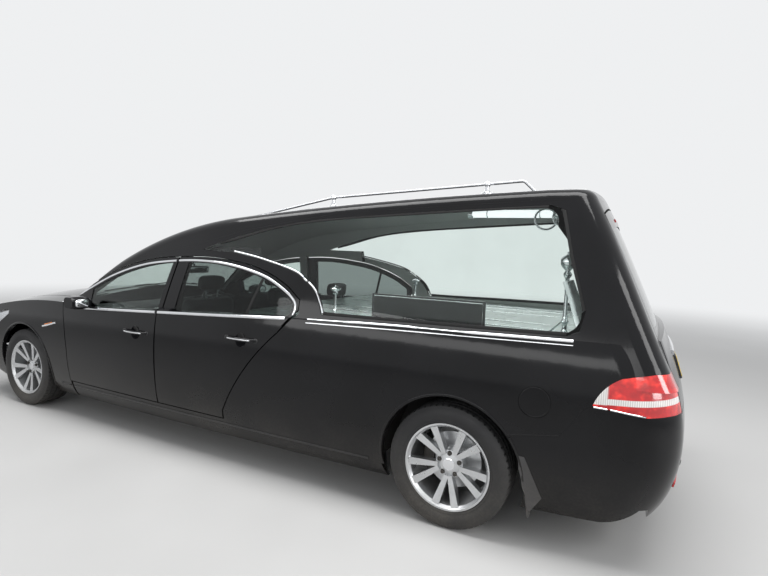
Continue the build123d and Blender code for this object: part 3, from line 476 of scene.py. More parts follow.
def piece(name, verts, faces, material, body="body", sharp=38.0):
    fresh.append(name)
    mesh = bpy.data.meshes.new(name)
    mesh.from_pydata([tuple(v) for v in verts], [], faces)
    shape = bmesh.new()
    shape.from_mesh(mesh)
    bmesh.ops.remove_doubles(shape, verts=shape.verts, dist=1e-6)
    bmesh.ops.recalc_face_normals(shape, faces=shape.faces)
    shape.to_mesh(mesh)
    shape.free()
    mesh.materials.append(material)
    mesh.polygons.foreach_set("use_smooth", [True] * len(mesh.polygons))
    mesh.set_sharp_from_angle(angle=math.radians(sharp))
    obj = bpy.data.objects.new(name, mesh)
    scene.collection.objects.link(obj)
    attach(obj, body)
    return obj


def smooth_path(points, step=0.012, closed=False):
    """Even points along a smooth curve through the given ones."""
    points = [Vector(p) for p in points]
    count = len(points)
    dense = []
    for i in range(count if closed else count - 1):
        if closed:
            p0, p1, p2, p3 = (points[(i + k) % count] for k in (-1, 0, 1, 2))
        else:
            p0, p1, p2, p3 = (points[min(max(i + k, 0), count - 1)] for k in (-1, 0, 1, 2))
        parts = max(2, int((p2 - p1).length / step) + 1)
        for k in range(parts):
            t = k / parts
            dense.append(0.5 * (2 * p1 + (p2 - p0) * t + (2 * p0 - 5 * p1 + 4 * p2 - p3) * t * t
                                + (3 * p1 - p0 - 3 * p2 + p3) * t ** 3))
    if not closed:
        dense.append(points[-1])
    return dense


def sweep(path, normals, section, closed=False):
    """Vertices and faces of a closed section swept along a path. Section is (across, outward)."""
    verts, faces = [], []
    count, around = len(path), len(section)
    for i, point in enumerate(path):
        ahead = path[(i + 1) % count] if closed else path[min(i + 1, count - 1)]
        behind = path[i - 1] if closed else path[max(i - 1, 0)]
        along = (ahead - behind).normalized()
        normal = (normals[i] - along * normals[i].dot(along)).normalized()
        across = along.cross(normal)
        verts += [point + across * u + normal * v for u, v in section]
    for i in range(count if closed else count - 1):
        a, b = i * around, ((i + 1) % count) * around
        faces += [(a + k, a + (k + 1) % around, b + (k + 1) % around, b + k) for k in range(around)]
    if not closed:
        faces += [tuple(range(around)), tuple(range((count - 1) * around, count * around))]
    return verts, faces


def round_section(radius, count=12):
    return [(radius * math.cos(a), radius * math.sin(a)) for a in turns(count)]


def strip_section(width, proud, sink=0.0015):
    half = width / 2
    return [(-half, -sink), (-half, proud * 0.45), (-half * 0.6, proud * 0.9), (0, proud),
            (half * 0.6, proud * 0.9), (half, proud * 0.45), (half, -sink)]


def tube(name, points, radius, material, body="body", closed=False, count=12, step=0.012):
    path = smooth_path(points, step, closed)
    start = Vector((0, 0, 1)) if abs((path[1] - path[0]).normalized().z) < 0.9 else Vector((1, 0, 0))
    normals = [start]
    for i in range(1, len(path)):
        along = (path[min(i + 1, len(path) - 1)] - path[i - 1]).normalized()
        normals.append((normals[-1] - along * normals[-1].dot(along)).normalized())
    return piece(name, *sweep(path, normals, round_section(radius, count), closed), material, body)


def turned(rings, place, count=32, start=0.0, stop=math.tau):
    """Vertices and faces of rings (along, radius) turned about the local Z axis of a matrix."""
    verts, faces = [], []
    full = abs(stop - start - math.tau) < 1e-6
    steps = count if full else count + 1
    for k in range(steps):
        angle = start + (stop - start) * k / count
        verts += [place @ Vector((r * math.cos(angle), r * math.sin(angle), a)) for a, r in rings]
    n = len(rings)
    for k in range(count):
        a, b = k * n, ((k + 1) % steps) * n
        faces += [(a + i, b + i, b + i + 1, a + i + 1) for i in range(n - 1)]
    return verts, faces


def merged(parts):
    """Joins several (verts, faces) lists into one."""
    verts, faces = [], []
    for part_verts, part_faces in parts:
        base = len(verts)
        verts += part_verts
        faces += [tuple(base + i for i in face) for face in part_faces]
    return verts, faces


def slab(outline, thickness, place, edge=0.0015):
    """A flat plate with eased edges: outline (x, y) at local z 0, growing to thickness."""
    middle = Vector((sum(p[0] for p in outline) / len(outline), sum(p[1] for p in outline) / len(outline)))
    rings = []
    for z, shrink in ((0, 0), (thickness - edge, 0), (thickness - edge * 0.3, edge * 0.3), (thickness, edge)):
        ring = []
        for p in outline:
            p = Vector(p)
            away = p - middle
            ring.append(place @ Vector((*(p - away.normalized() * shrink), z)))
        rings.append(ring)
    n = len(outline)
    faces = [(a * n + i, a * n + (i + 1) % n, (a + 1) * n + (i + 1) % n, (a + 1) * n + i)
             for a in range(len(rings) - 1) for i in range(n)]
    faces += [tuple(range(n)), tuple(range((len(rings) - 1) * n, len(rings) * n))]
    return [v for ring in rings for v in ring], faces


def rounded_rect(width, height, radius, count=6):
    out = []
    for cx, cy, start in ((width / 2 - radius, height / 2 - radius, 0),
                          (radius - width / 2, height / 2 - radius, 90),
                          (radius - width / 2, radius - height / 2, 180),
                          (width / 2 - radius, radius - height / 2, 270)):
        for k in range(count + 1):
            angle = math.radians(start + 90 * k / count)
            out.append((cx + radius * math.cos(angle), cy + radius * math.sin(angle)))
    return out


def lathe(name, rings, place, count, material, body="body", sharp=38.0):
    """One turned piece."""
    piece(name, *turned(rings, place, count), material, body, sharp)


def panel(name, width, height, radius, thickness, place, material, body="body", count=6):
    """One flat piece with rounded corners."""
    piece(name, *slab(rounded_rect(width, height, radius, count), thickness, place), material, body)


# %% Rays at the CAD panels


def ray_target(names):
    verts, faces, owners = [], [], []
    for name in names:
        base = len(verts)
        obj = nodes[name]
        verts += [obj.matrix_world @ v.co for v in obj.data.vertices]
        for face in obj.data.polygons:
            faces.append([base + i for i in face.vertices])
            owners.append(name)
    return BVHTree.FromPolygons(verts, faces), owners


SIDES = ["side_frame", "roof_panel", "front_wings", "front_bumper", "rear_bumper", "tailgate", "deck_windows",
         "tail_lights", "headlights"] + DOORS + [d.replace("door", "door_glass") for d in DOORS]
side_target = ray_target(SIDES)
LOOK = {  # where a ray starts and which way it goes, for a point (a, b) seen from that side
    "left": (lambda a, b: Vector((a, -1.5, b)), Vector((0, 1, 0))),
    "right": (lambda a, b: Vector((a, 1.5, b)), Vector((0, -1, 0))),
    "front": (lambda a, b: Vector((-3.4, a, b)), Vector((1, 0, 0))),
    "rear": (lambda a, b: Vector((3.4, a, b)), Vector((-1, 0, 0))),
    "top": (lambda a, b: Vector((a, b, 2.5)), Vector((0, 0, -1))),
    "inside_up": (lambda a, b: Vector((a, b, 1.1)), Vector((0, 0, 1))),
}


def touch(target, look, a, b):
    """(point, outward normal, node) where a ray from that side meets the panels, or None."""
    start, way = LOOK[look]
    point, normal, index, _ = target[0].ray_cast(start(a, b), way)
    if point is None:
        return None
    return point, (normal if normal.dot(way) < 0 else -normal), target[1][index]


def lay(name, points, look, width, proud, material, target=side_target, step=0.012, closed=False, only=None,
        lift=0.0, shift=0.0):
    """Lays a strip along flat points on the panels. A new length starts at each shut line."""
    flat = smooth_path([(a, b, 0) for a, b in points], step, closed)
    if shift:
        moved = []
        for i, p in enumerate(flat):
            along = flat[min(i + 1, len(flat) - 1)] - flat[max(i - 1, 0)]
            moved.append(p + Vector((-along.y, along.x, 0)).normalized() * shift)
        flat = moved
    hits = [touch(target, look, p.x, p.y) for p in flat]
    runs, run = [], []
    for hit in hits:
        wanted = hit and (only is None or hit[2] in only)
        if wanted and (not run or (hit[2] == run[-1][2] and (hit[0] - run[-1][0]).length < 3 * step)):
            run.append(hit)
        else:
            runs.append(run)
            run = [hit] if wanted else []
    runs.append(run)
    made = []
    for run in runs:
        if len(run) < 3:
            continue
        path = [p + n * lift for p, n, _ in run]
        normals = [sum((run[k][1] for k in range(max(0, i - 2), min(len(run), i + 3))), Vector()).normalized()
                   for i in range(len(run))]
        loop = closed and len(runs) <= 2 and len(run) == len(flat)
        verts, faces = sweep(path, normals, strip_section(width, proud), loop)
        made.append(piece(name + ("_%d" % len(made) if made else ""), verts, faces, material,
                          home[run[0][2]]))
    return made


# %% [markdown]
# ## Bright trim and seals
# A polished strip runs round both door windows and along the belt, and a second pair of lines
# underscores the deck window. On the real car it is bent from bright section and clipped on,
# split at each shut line. Black rubber seals the edges of the big fixed panes.

# %% Window surrounds
DOOR_WINDOW = [(-1.392, 0.921), (-1.18, 1.03), (-0.911, 1.155), (-0.599, 1.248), (-0.275, 1.29),
               (0.012, 1.301), (0.28, 1.281), (0.545, 1.227), (0.725, 1.15), (0.808, 1.092), (0.822, 1.05),
               (0.812, 1.012), (0.792, 0.99)]
BELT = [(-1.12, 0.896), (-0.7, 0.916), (-0.302, 0.936), (0.25, 0.964), (0.78, 0.992)]
DECK_CURVE = [(0.25, 1.374), (0.47, 1.34), (0.753, 1.276), (0.86, 1.222), (0.938, 1.168), (0.988, 1.098),
              (1.017, 1.04), (1.02, 1.022)]
DECK_SILL = [(0.93, 0.999), (1.4, 1.012), (1.9, 1.022), (2.385, 1.031)]
for side, _ in BOTH:
    lay("window_surround_" + side, DOOR_WINDOW, side, 0.014, 0.0045, chrome)
    lay("belt_strip_" + side, BELT, side, 0.017, 0.005, chrome)
    lay("deck_curve_" + side, DECK_CURVE, side, 0.01, 0.0045, chrome)
    lay("deck_sill_" + side, DECK_SILL, side, 0.013, 0.005, chrome)
    lay("deck_sill_lower_" + side, DECK_SILL, side, 0.006, 0.003, chrome, shift=-0.019)
    lay("quarter_bar_" + side, [(0.545, 1.232), (0.515, 1.15), (0.47, 1.02), (0.452, 0.972)], side, 0.02,
        0.003, seal, only=["rear_door_glass_" + side])
tell("window strips")

# %% Folded edges beside the shut lines
BUMPER_EDGE = [(2.105, 0.556), (2.22, 0.575), (2.353, 0.598), (2.392, 0.64), (2.425, 0.697), (2.446, 0.738)]
FLAP_RING = [(2.238 + 0.0685 * math.cos(a), 0.735 + 0.0685 * math.sin(a)) for a in turns(24)]
for side in ("left", "right"):
    lay("bumper_fold_" + side, BUMPER_EDGE, side, 0.0045, 0.0016, paint, only=["side_frame"])
lay("fuel_flap_fold", FLAP_RING, "left", 0.004, 0.0015, paint, closed=True, only=["side_frame"])
tell("folded edges")

# %% Seals of the fixed panes
DECK_EDGE = [(-0.028, 1.384), (0.25, 1.462), (0.59, 1.548), (0.99, 1.597), (1.5, 1.631), (1.9, 1.655),
             (2.205, 1.669), (2.27, 1.655), (2.29, 1.62), (2.345, 1.415), (2.418, 1.17), (2.402, 1.085),
             (2.35, 1.058), (1.7, 1.048), (1.022, 1.04), (1.0, 1.074), (0.94, 1.16), (0.753, 1.262),
             (0.47, 1.326), (0.25, 1.36)]
glass_target = ray_target(["deck_windows"])
for side in ("left", "right"):
    lay("deck_seal_" + side, DECK_EDGE, side, 0.02, 0.0035, seal, target=glass_target, closed=True,
        lift=-0.0005, step=0.02)
screen_target = ray_target(["windscreen"])
SCREEN_EDGE = [(-0.735, 0.945), (-0.4, 0.986), (0.0, 1.018), (0.4, 0.986), (0.735, 0.945), (0.612, 1.246),
               (0.3, 1.294), (0.0, 1.309), (-0.3, 1.294), (-0.612, 1.246)]
lay("screen_seal_low", SCREEN_EDGE[:5], "front", 0.018, 0.0015, seal, target=screen_target, step=0.02)
lay("screen_seal_top", SCREEN_EDGE[5:], "front", 0.018, 0.0015, seal, target=screen_target, step=0.02)
for side, sign in BOTH:
    lay("screen_seal_" + side, [(sign * 0.735, 0.945), (sign * 0.612, 1.246)], "front", 0.018, 0.0015, seal,
        target=screen_target, step=0.02)
tell("seals")

# %% [markdown]
# ## Tyres
# The CAD tyre is a smooth ring. Here each one gets the section it really has: four grooves round
# the tread, slots across the shoulders, a rim ledge and fine ribs on the sidewall. It is one grid
# bent round the axle, with the tread pattern pressed in by moving grid points.

# %% Tyre mesh
TREAD_STEPS = 300


def tyre_grid():
    rings = [(-0.0975, 0.2156), (-0.0978, 0.2275), (-0.1035, 0.2292), (-0.108, 0.2345), (-0.11, 0.24),
             (-0.1092, 0.2425), (-0.115, 0.252), (-0.1172, 0.265), (-0.118, 0.274), (-0.1172, 0.284),
             (-0.1148, 0.295), (-0.1112, 0.303), (-0.1085, 0.307), (-0.106, 0.312), (-0.104, 0.316),
             (-0.1, 0.3192), (-0.093, 0.321), (-0.085, 0.3216), (-0.076, 0.3219), (-0.0662, 0.3219)]
    for middle in (-0.06, -0.021):
        rings += [(middle - 0.0048, 0.3219), (middle - 0.004, 0.3205), (middle - 0.0028, 0.3146),
                  (middle + 0.0028, 0.3146), (middle + 0.004, 0.3205), (middle + 0.0048, 0.3219)]
        if middle < -0.03:
            rings += [(-0.047, 0.322), (-0.034, 0.322)]
    rings += [(-0.008, 0.322)]
    rings = rings + [(-a, r) for a, r in reversed(rings)]
    verts, faces = [], []
    n = len(rings)
    for k in range(TREAD_STEPS):
        angle = math.tau * k / TREAD_STEPS
        slot_here, half_slot = k % 5 == 0, (k + 2) % 5 == 0
        for a, r in rings:
            if r > 0.3185 and abs(a) > 0.067 and slot_here:
                r -= 0.0055
            elif r > 0.3188 and 0.028 < abs(a) < 0.053 and half_slot:
                r -= 0.0045
            elif r > 0.3188 and abs(a) < 0.014 and (k % 10 == 3):
                r -= 0.003
            elif 0.247 < r < 0.262 and k % 2:
                a *= 0.9965
            verts.append(Vector((r * math.cos(angle), a, r * math.sin(angle))))
        b = (k + 1) % TREAD_STEPS
        faces += [(k * n + i, k * n + (i + 1) % n, b * n + (i + 1) % n, b * n + i) for i in range(n)]
    return verts, faces


tyre_verts, tyre_faces = tyre_grid()
WHEELS = [(end, side, Vector((x, sign * WHEEL_Y, WHEEL_Z)), sign)
          for end, x in (("front", FRONT_AXLE), ("rear", REAR_AXLE)) for side, sign in BOTH]
for end, side, hub, sign in WHEELS:
    body = "wheel_%s_%s" % (end, side)
    name = "tyre_%s_%s" % (end, side)
    tyre = piece("treaded_" + name, [hub + v for v in tyre_verts], tyre_faces, rubber, body, sharp=30)
    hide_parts(name)

# %% Wheel bolts, caps and valves


def hub_place(hub, sign, radius, angle, out):
    """Local Z points outboard at that spot on the wheel."""
    spot = hub + Vector((radius * math.cos(angle), sign * out, radius * math.sin(angle)))
    return aimed(spot, (0, sign, 0), "X")


for end, side, hub, sign in WHEELS:
    body = "wheel_%s_%s" % (end, side)
    nuts = []
    for k in range(5):
        place = hub_place(hub, sign, 0.057, math.radians(90 + 72 * k), 0.0495)
        nuts.append(turned([(0, 0.013), (0.006, 0.013), (0.0065, 0.0105), (0.0155, 0.0105), (0.0172, 0.0085),
                            (0.0172, 0.0055), (0.013, 0.005), (0.013, 0)], place, 6))
    piece("wheel_bolts_%s_%s" % (end, side), *merged(nuts), steel, body, sharp=20)
    centre = hub_place(hub, sign, 0, 0, 0.0615)
    rings = [(0, 0.033), (0.0035, 0.0325), (0.005, 0.029), (0.0042, 0.027), (0.0058, 0.018), (0.0064, 0)]
    lathe("centre_cap_%s_%s" % (end, side), rings, centre, 40, chrome, body)
    valve = hub_place(hub, sign, 0.196, math.radians(126), 0.07)
    lathe("valve_%s_%s" % (end, side), [(0, 0.004), (0.014, 0.0036), (0.016, 0.0042), (0.024, 0.004),
                                        (0.0245, 0)], valve, 12, rubber, body)
print("tyre points:", len(tyre_verts), "each")
tell("tyres, bolts, caps and valves")

# %% [markdown]
# ## Door handles
# Each handle is a body-coloured grip that arches over the scoop in the door, with a bright line
# let into it and a dark pad under each end. Its path runs straight between two points of the
# panel and rises above it, because a path that followed the panel would dip into the scoop.

# %% Door handles
HANDLES = {"front": (-0.608, -0.377, 0.781), "rear": (0.356, 0.587, 0.838)}
for end, (x0, x1, z) in HANDLES.items():
    for side, sign in BOTH:
        body = "%s_door_%s" % (end, side)
        count = 26
        (first, face, _), (last, face_too, _) = (touch(side_target, side, x, z) for x in (x0, x1))
        face = (face + face_too).normalized()
        path = []
        for k in range(count + 1):
            t = k / count
            path.append(first.lerp(last, t) + face * 0.03 * min(1.0, 4.2 * t * (1 - t)) ** 0.55)
        normals = [face] * len(path)
        section = [(0.011 * math.cos(a), 0.0075 * math.sin(a)) for a in turns(14)]
        piece("handle_%s_%s" % (end, side), *sweep(path, normals, section), paint, body)
        bright = [p + n * 0.0068 for p, n in zip(path, normals)][3:-3]
        piece("handle_line_%s_%s" % (end, side), *sweep(bright, normals[3:-3], strip_section(0.007, 0.0022)),
              chrome, body)
        pads = []
        for spot in (first, last):
            across = Vector((0, 0, 1)).cross(face).normalized()
            place = at(spot) @ Matrix((across, face.cross(across), face)).transposed().to_4x4()
            pads.append(slab(rounded_rect(0.034, 0.028, 0.013), 0.0022, place, edge=0.001))
        piece("handle_pads_%s_%s" % (end, side), *merged(pads), satin_black, body)
tell("door handles")

# %% [markdown]
# ## Seats
# A car seat is foam under stitched leather: a flat insert with sewn channels between two raised
# bolsters, a back of the same build and a rest on two posts. Each pad starts as a rounded block
# whose top is pushed into that form. Cloth with a little air pressure then swells it, so that the
# cover looks tight over foam; seams and channels are pressed in afterwards, because a swelling
# cover would smooth them out again.

# %% A rounded block of many faces


def foam_block(name, size, shape, material, cells=26, power=7.0):
    """Rounded block of that size; shape(u, v, w) gives each point's push along w, in metres."""
    build = bmesh.new()
    bmesh.ops.create_cube(build, size=2.0)
    bmesh.ops.subdivide_edges(build, edges=build.edges, cuts=cells, use_grid_fill=True)
    for vert in build.verts:
        u, v, w = vert.co
        reach = (abs(u) ** power + abs(v) ** power + abs(w) ** power) ** (1 / power)
        u, v, w = u / reach, v / reach, w / reach
        vert.co = (u * size[0] / 2, v * size[1] / 2, w * size[2] / 2 + shape(u, v, w))
    mesh = bpy.data.meshes.new(name)
    bmesh.ops.recalc_face_normals(build, faces=build.faces)
    build.to_mesh(mesh)
    build.free()
    mesh.materials.append(material)
    mesh.polygons.foreach_set("use_smooth", [True] * len(mesh.polygons))
    obj = bpy.data.objects.new(name, mesh)
    scene.collection.objects.link(obj)
    fresh.append(name)
    return obj


SWELL_FRAMES = 14


def swell(obj, cap):
    """Cloth with air pressure inside; no point may move further than cap."""
    before = [v.co.copy() for v in obj.data.vertices]
    cloth = obj.modifiers.new("Cloth", "CLOTH")
    cloth.settings.quality = 4
    cloth.settings.use_pressure = True
    cloth.settings.uniform_pressure_force = 4.0
    cloth.settings.effector_weights.gravity = 0.0
    cloth.settings.tension_stiffness = cloth.settings.compression_stiffness = 30.0
    cloth.settings.bending_stiffness = 0.5
    cloth.point_cache.frame_start, cloth.point_cache.frame_end = 1, SWELL_FRAMES
    for tick in range(1, SWELL_FRAMES + 1):
        scene.frame_set(tick)
    ready = obj.evaluated_get(bpy.context.evaluated_depsgraph_get())
    moved = [v.co.copy() for v in ready.data.vertices]
    obj.modifiers.remove(cloth)
    scene.frame_set(1)
    for vert, a, b in zip(obj.data.vertices, before, moved):
        step = b - a
        vert.co = a + (step if step.length < cap else step.normalized() * cap)


# %% Press seams and channels into a pad


def press(obj, lines, depth, width):
    """lines: functions of a local point that give its distance from a seam, in metres."""
    for vert in obj.data.vertices:
        near = min(line(vert.co) for line in lines)
        fall = math.exp(-(near / width) ** 2)
        if fall > 0.02:
            vert.co -= vert.normal * depth * fall


def settle(obj, place, node, body="body"):
    obj.data.transform(place)
    obj.data.update()
    fine = obj.modifiers.new("Fine", "SUBSURF")
    fine.levels = fine.render_levels = 1
    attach(obj, body)
    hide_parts(node)


# %% Cushion, back and rest


def bump_between(value, low, high):
    t = min(1.0, max(0.0, (value - low) / (high - low)))
    return t * t * (3 - 2 * t)


def seat_pad(name, width, length, thick, bolster, channels):
    """Local X runs along the pad, Y across it and Z out of its face."""
    def shape(u, v, w):
        if w <= 0:
            return 0.0
        side = bump_between(abs(v), 0.56, 0.86) * (1 - 0.6 * bump_between(abs(v), 0.9, 1.0))
        crown = 0.01 * (1 - u * u) * (1 - v * v)
        return (bolster * side * (1 - 0.25 * u * u) + crown) * w
    pad = foam_block(name, (length, width, thick), shape, leather)
    swell(pad, 0.01)
    edge = 0.6 * width / 2
    lines = [lambda p: abs(abs(p.y) - edge) if p.z > 0 else 1.0]
    for k in range(channels):
        x = length * ((k + 0.5) / channels - 0.5) * 0.86
        lines.append(lambda p, x=x: abs(p.x - x) if p.z > 0 and abs(p.y) < edge else 1.0)
    press(pad, lines, 0.0065, 0.0055)
    return pad


def bench_pad(name, width, length, thick, channels):
    def shape(u, v, w):
        return 0.014 * (1 - u * u) * (1 - v ** 4) * max(w, 0)
    pad = foam_block(name, (length, width, thick), shape, leather, cells=34, power=9.0)
    swell(pad, 0.01)
    third = width / 6
    lines = [lambda p: abs(abs(p.y) - third) if p.z > 0 else 1.0,
             lambda p: abs(abs(p.y) - third * 2.72) if p.z > 0 else 1.0]
    for k in range(channels):
        x = length * ((k + 0.5) / channels - 0.5) * 0.84
        lines.append(lambda p, x=x: abs(p.x - x) if p.z > 0 and abs(p.y) < third * 2.72 else 1.0)
    press(pad, lines, 0.007, 0.006)
    return pad


def rest_pad(name):
    def shape(u, v, w):
        return (0.008 * (1 - v * v) * (1 - u * u)) * w
    pad = foam_block(name, (0.112, 0.236, 0.08), shape, leather, cells=14, power=4.0)
    swell(pad, 0.005)
    press(pad, [lambda p: abs(p.x + 0.03) if p.z > 0 else 1.0,
                lambda p: abs(p.z) if abs(p.y) > 0.07 else 1.0], 0.003, 0.004)
    return pad


def lean(x, z, degrees, y=0.0):
    """Local X up the back, local Z towards the nose."""
    turn = math.radians(degrees)
    rise = Vector((math.sin(turn), 0, math.cos(turn)))
    face = Vector((-math.cos(turn), 0, math.sin(turn)))
    return at((x, y, z)) @ Matrix((rise, face.cross(rise), face)).transposed().to_4x4()


def flat(x, z, degrees, y=0.0):
    return at((x, y, z)) @ spun(degrees, "Y")


SEAT_Y, REST_Y = 0.385, 0.38
for side, sign in BOTH:
    y = sign * SEAT_Y
    settle(seat_pad("front_cushion_" + side, 0.5, 0.485, 0.125, 0.024, 4), flat(-0.678, 0.45, 4, y),
           "front_seats")
    settle(seat_pad("front_back_" + side, 0.49, 0.52, 0.105, 0.022, 5), lean(-0.398, 0.752, 12.5, y),
           "front_seats")
    settle(rest_pad("front_rest_" + side), lean(-0.337, 1.114, 8, y), "front_seats")
settle(bench_pad("rear_cushion", 1.37, 0.47, 0.13, 4), flat(0.045, 0.45, 4), "rear_seat")
settle(bench_pad("rear_back", 1.37, 0.48, 0.105, 5), lean(0.328, 0.722, 7), "rear_seat")
for side, sign in BOTH:
    settle(rest_pad("rear_rest_" + side), lean(0.334, 1.064, 6, sign * REST_Y), "rear_seat")

# %% Seat frames and rest posts
for side, half in BOTH:
    y = half * SEAT_Y
    shell = [(-0.9, 0.3), (-0.908, 0.4), (-0.88, 0.418), (-0.5, 0.392), (-0.44, 0.37), (-0.415, 0.3)]
    for sign in (-1, 1):
        place = at((0, y + sign * 0.236, 0)) @ spun(90, "X")
        piece("seat_valance_%s_%d" % (side, sign + 1), *slab(shell, 0.012, place), cabin)
        rail = [Vector((-0.88, y + sign * 0.19, 0.302)), Vector((-0.44, y + sign * 0.19, 0.302))]
        box = [(-0.018, -0.011), (-0.018, 0.012), (-0.01, 0.016), (0.01, 0.016), (0.018, 0.012),
               (0.018, -0.011)]
        piece("seat_rail_%s_%d" % (side, sign + 1), *sweep(rail, [Vector((0, 0, 1))] * 2, box), steel)
for node, x, reach, z in (("front", -0.33, SEAT_Y, 0.995), ("rear", 0.342, REST_Y, 0.945)):
    made = []
    for y in (-reach, reach):
        for gap in (-0.06, 0.06):
            made.append(turned([(-0.02, 0.0062), (0.085, 0.0062)], at((x, y + gap, z)), 16))
            made.append(turned([(0.004, 0.0062), (0.004, 0.013), (0.012, 0.0125), (0.014, 0.0062)],
                               at((x, y + gap, z)), 20))
    piece("rest_posts_" + node, *merged(made), chrome)
tell("seats, frames and rest posts")

# %% [markdown]
# ## Lamps, mirrors and plates
# A headlamp is a clear cover over a bright bowl. The back wall is made from the cover's own outer
# faces, moved inboard, so it follows the swept corner; two projector units sit in front of it.
# The plates are blank, as bare plates are before they are lettered.

# %% Headlamp insides: bowl and projector units
cover = nodes["headlights"]
for side, sign in BOTH:
    verts, faces, seen = [], [], {}
    push = Vector((0.03, -sign * 0.022, -0.004))
    for face in cover.data.polygons:
        middle, normal = face.center, face.normal
        if middle.y * sign > 0 and (normal.x < -0.25 or normal.y * sign > 0.45) and abs(normal.z) < 0.8:
            ring = []
            for index in face.vertices:
                if index not in seen:
                    seen[index] = len(verts)
                    verts.append(cover.data.vertices[index].co + push)
                ring.append(seen[index])
            faces.append(ring)
    piece("lamp_back_" + side, verts, faces, lamp_bowl)
    units = []
    for x, y, z, size in ((-2.7, 0.545, 0.606, 0.031), (-2.6, 0.65, 0.622, 0.034)):
        aim = aimed((x, sign * y, z), (-0.95, sign * 0.31, 0.0))
        units.append(turned([(-0.03, 0.0), (-0.028, size * 0.45), (-0.01, size * 0.9), (0.004, size),
                             (0.008, size * 0.97), (0.006, size * 0.84), (-0.004, size * 0.78)], aim, 36))
        eye = turned([(-0.004, size * 0.78), (0.004, size * 0.62), (0.009, size * 0.34), (0.011, 0.0)], aim,
                     36)
        piece("lamp_eye_%s_%d" % (side, size * 1000), *eye, lens_glass)
    piece("lamp_units_" + side, *merged(units), lamp_bowl)
tell("headlamp insides")

# %% Tail lamp rim, bumper reflectors and high brake lamp
for side in ("left", "right"):
    lay("tail_rim_" + side, [(2.492, 0.7525), (2.56, 0.7505), (2.63, 0.745), (2.7, 0.739)], side, 0.007,
        0.0035, chrome)
    lay("side_blade_" + side, [(-1.632, 0.706), (-1.56, 0.722), (-1.5, 0.738), (-1.448, 0.752)], side, 0.012,
        0.004, chrome)
    lay("side_repeater_" + side, [(-1.6, 0.7245), (-1.55, 0.736), (-1.5, 0.749)], side, 0.007, 0.0035, amber)
rear_target = ray_target(["tailgate", "rear_bumper", "tailgate_glass"])
front_target = ray_target(["front_bumper", "bonnet", "grille", "front_wings"])


def on_panel(target, look, a, b, twist=Vector((0, 0, 1))):
    """A frame at a panel point: local Z outward, local Y up the panel, local X across."""
    point, normal, node = touch(target, look, a, b)
    across = twist.cross(normal).normalized()
    rise = normal.cross(across)
    return at(point) @ Matrix((across, rise, normal)).transposed().to_4x4(), home[node]


SENSOR = [(0, 0.012), (0.0015, 0.0118), (0.0022, 0.01), (0.0016, 0.0)]
for side, sign in BOTH:
    place, body = on_panel(rear_target, "rear", sign * 0.6, 0.395)
    panel("rear_reflector_" + side, 0.15, 0.032, 0.01, 0.007, place, red_lens, body)
    for k, y in enumerate((0.3, 0.66)):
        for end, target, z in (("rear", rear_target, 0.5), ("front", front_target, 0.4)):
            place, body = on_panel(target, end, sign * y, z)
            lathe("%s_sensor_%s_%d" % (end, side, k), SENSOR, place, 24, satin_black, body)
lay("high_brake_lamp", [(-0.17, 1.628), (0.0, 1.634), (0.17, 1.628)], "rear", 0.02, 0.006, red_lens,
    target=rear_target)
tell("small lamps and sensors")

# %% Plates, plate lamps and tailgate grip


def plate(name, target, look, height, finish_material, width=0.52, tall=0.111, seat=0.0):
    """seat is how far the plate is let into the middle of a bulging panel."""
    place, body = on_panel(target, look, 0.0, height)
    place = place @ at((0, 0, -seat))
    lift = at((0, 0, 0.004))
    panel(name + "_holder", width + 0.016, tall + 0.016, 0.012, 0.009, place, satin_black, body)
    panel(name, width, tall, 0.008, 0.0075, place @ lift, finish_material, body)
    if not seat:
        studs = []
        for x in (-0.18, 0.18):
            studs.append(turned([(0, 0.006), (0.002, 0.006), (0.0032, 0.0035), (0.0034, 0)],
                                place @ at((x, 0, 0.0113)), 16))
        piece(name + "_studs", *merged(studs), finish_material, body)


plate("rear_plate", rear_target, "rear", 0.865, plate_yellow)
plate("front_plate", front_target, "front", 0.48, plate_white, seat=0.0113)
lay("tailgate_grip", [(-0.33, 0.948), (0.0, 0.951), (0.33, 0.948)], "rear", 0.026, 0.01, chrome,
    target=rear_target)
for sign in (-1, 1):
    place, body = on_panel(rear_target, "rear", sign * 0.19, 0.931)
    panel("plate_lamp_%s" % ("left" if sign < 0 else "right"), 0.05, 0.014, 0.005, 0.008, place, glow, body)
tell("plates")

# %% Mirror glasses
for side, sign in BOTH:
    low, high = (Vector(corner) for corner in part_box("mirror_" + side))
    middle = (low + high) / 2
    face_at = Vector((high.x - 0.004, middle.y + sign * 0.006, middle.z))
    turn = aimed(face_at, (1, sign * 0.1, 0.02)) @ spun(90, "Z")
    panel("mirror_rim_" + side, 0.066, 0.1, 0.026, 0.006, turn, satin_black, "front_door_" + side, count=8)
    panel("mirror_face_" + side, 0.058, 0.092, 0.022, 0.0035, turn @ at((0, 0, 0.004)), mirror_glass,
          "front_door_" + side, count=8)
    lay("mirror_blinker_" + side, [(sign * 0.965, 0.957), (sign * 1.0, 0.959), (sign * 1.035, 0.957)],
        "front", 0.006, 0.002, amber, target=ray_target(["mirror_" + side]), step=0.006)
tell("mirror glasses")

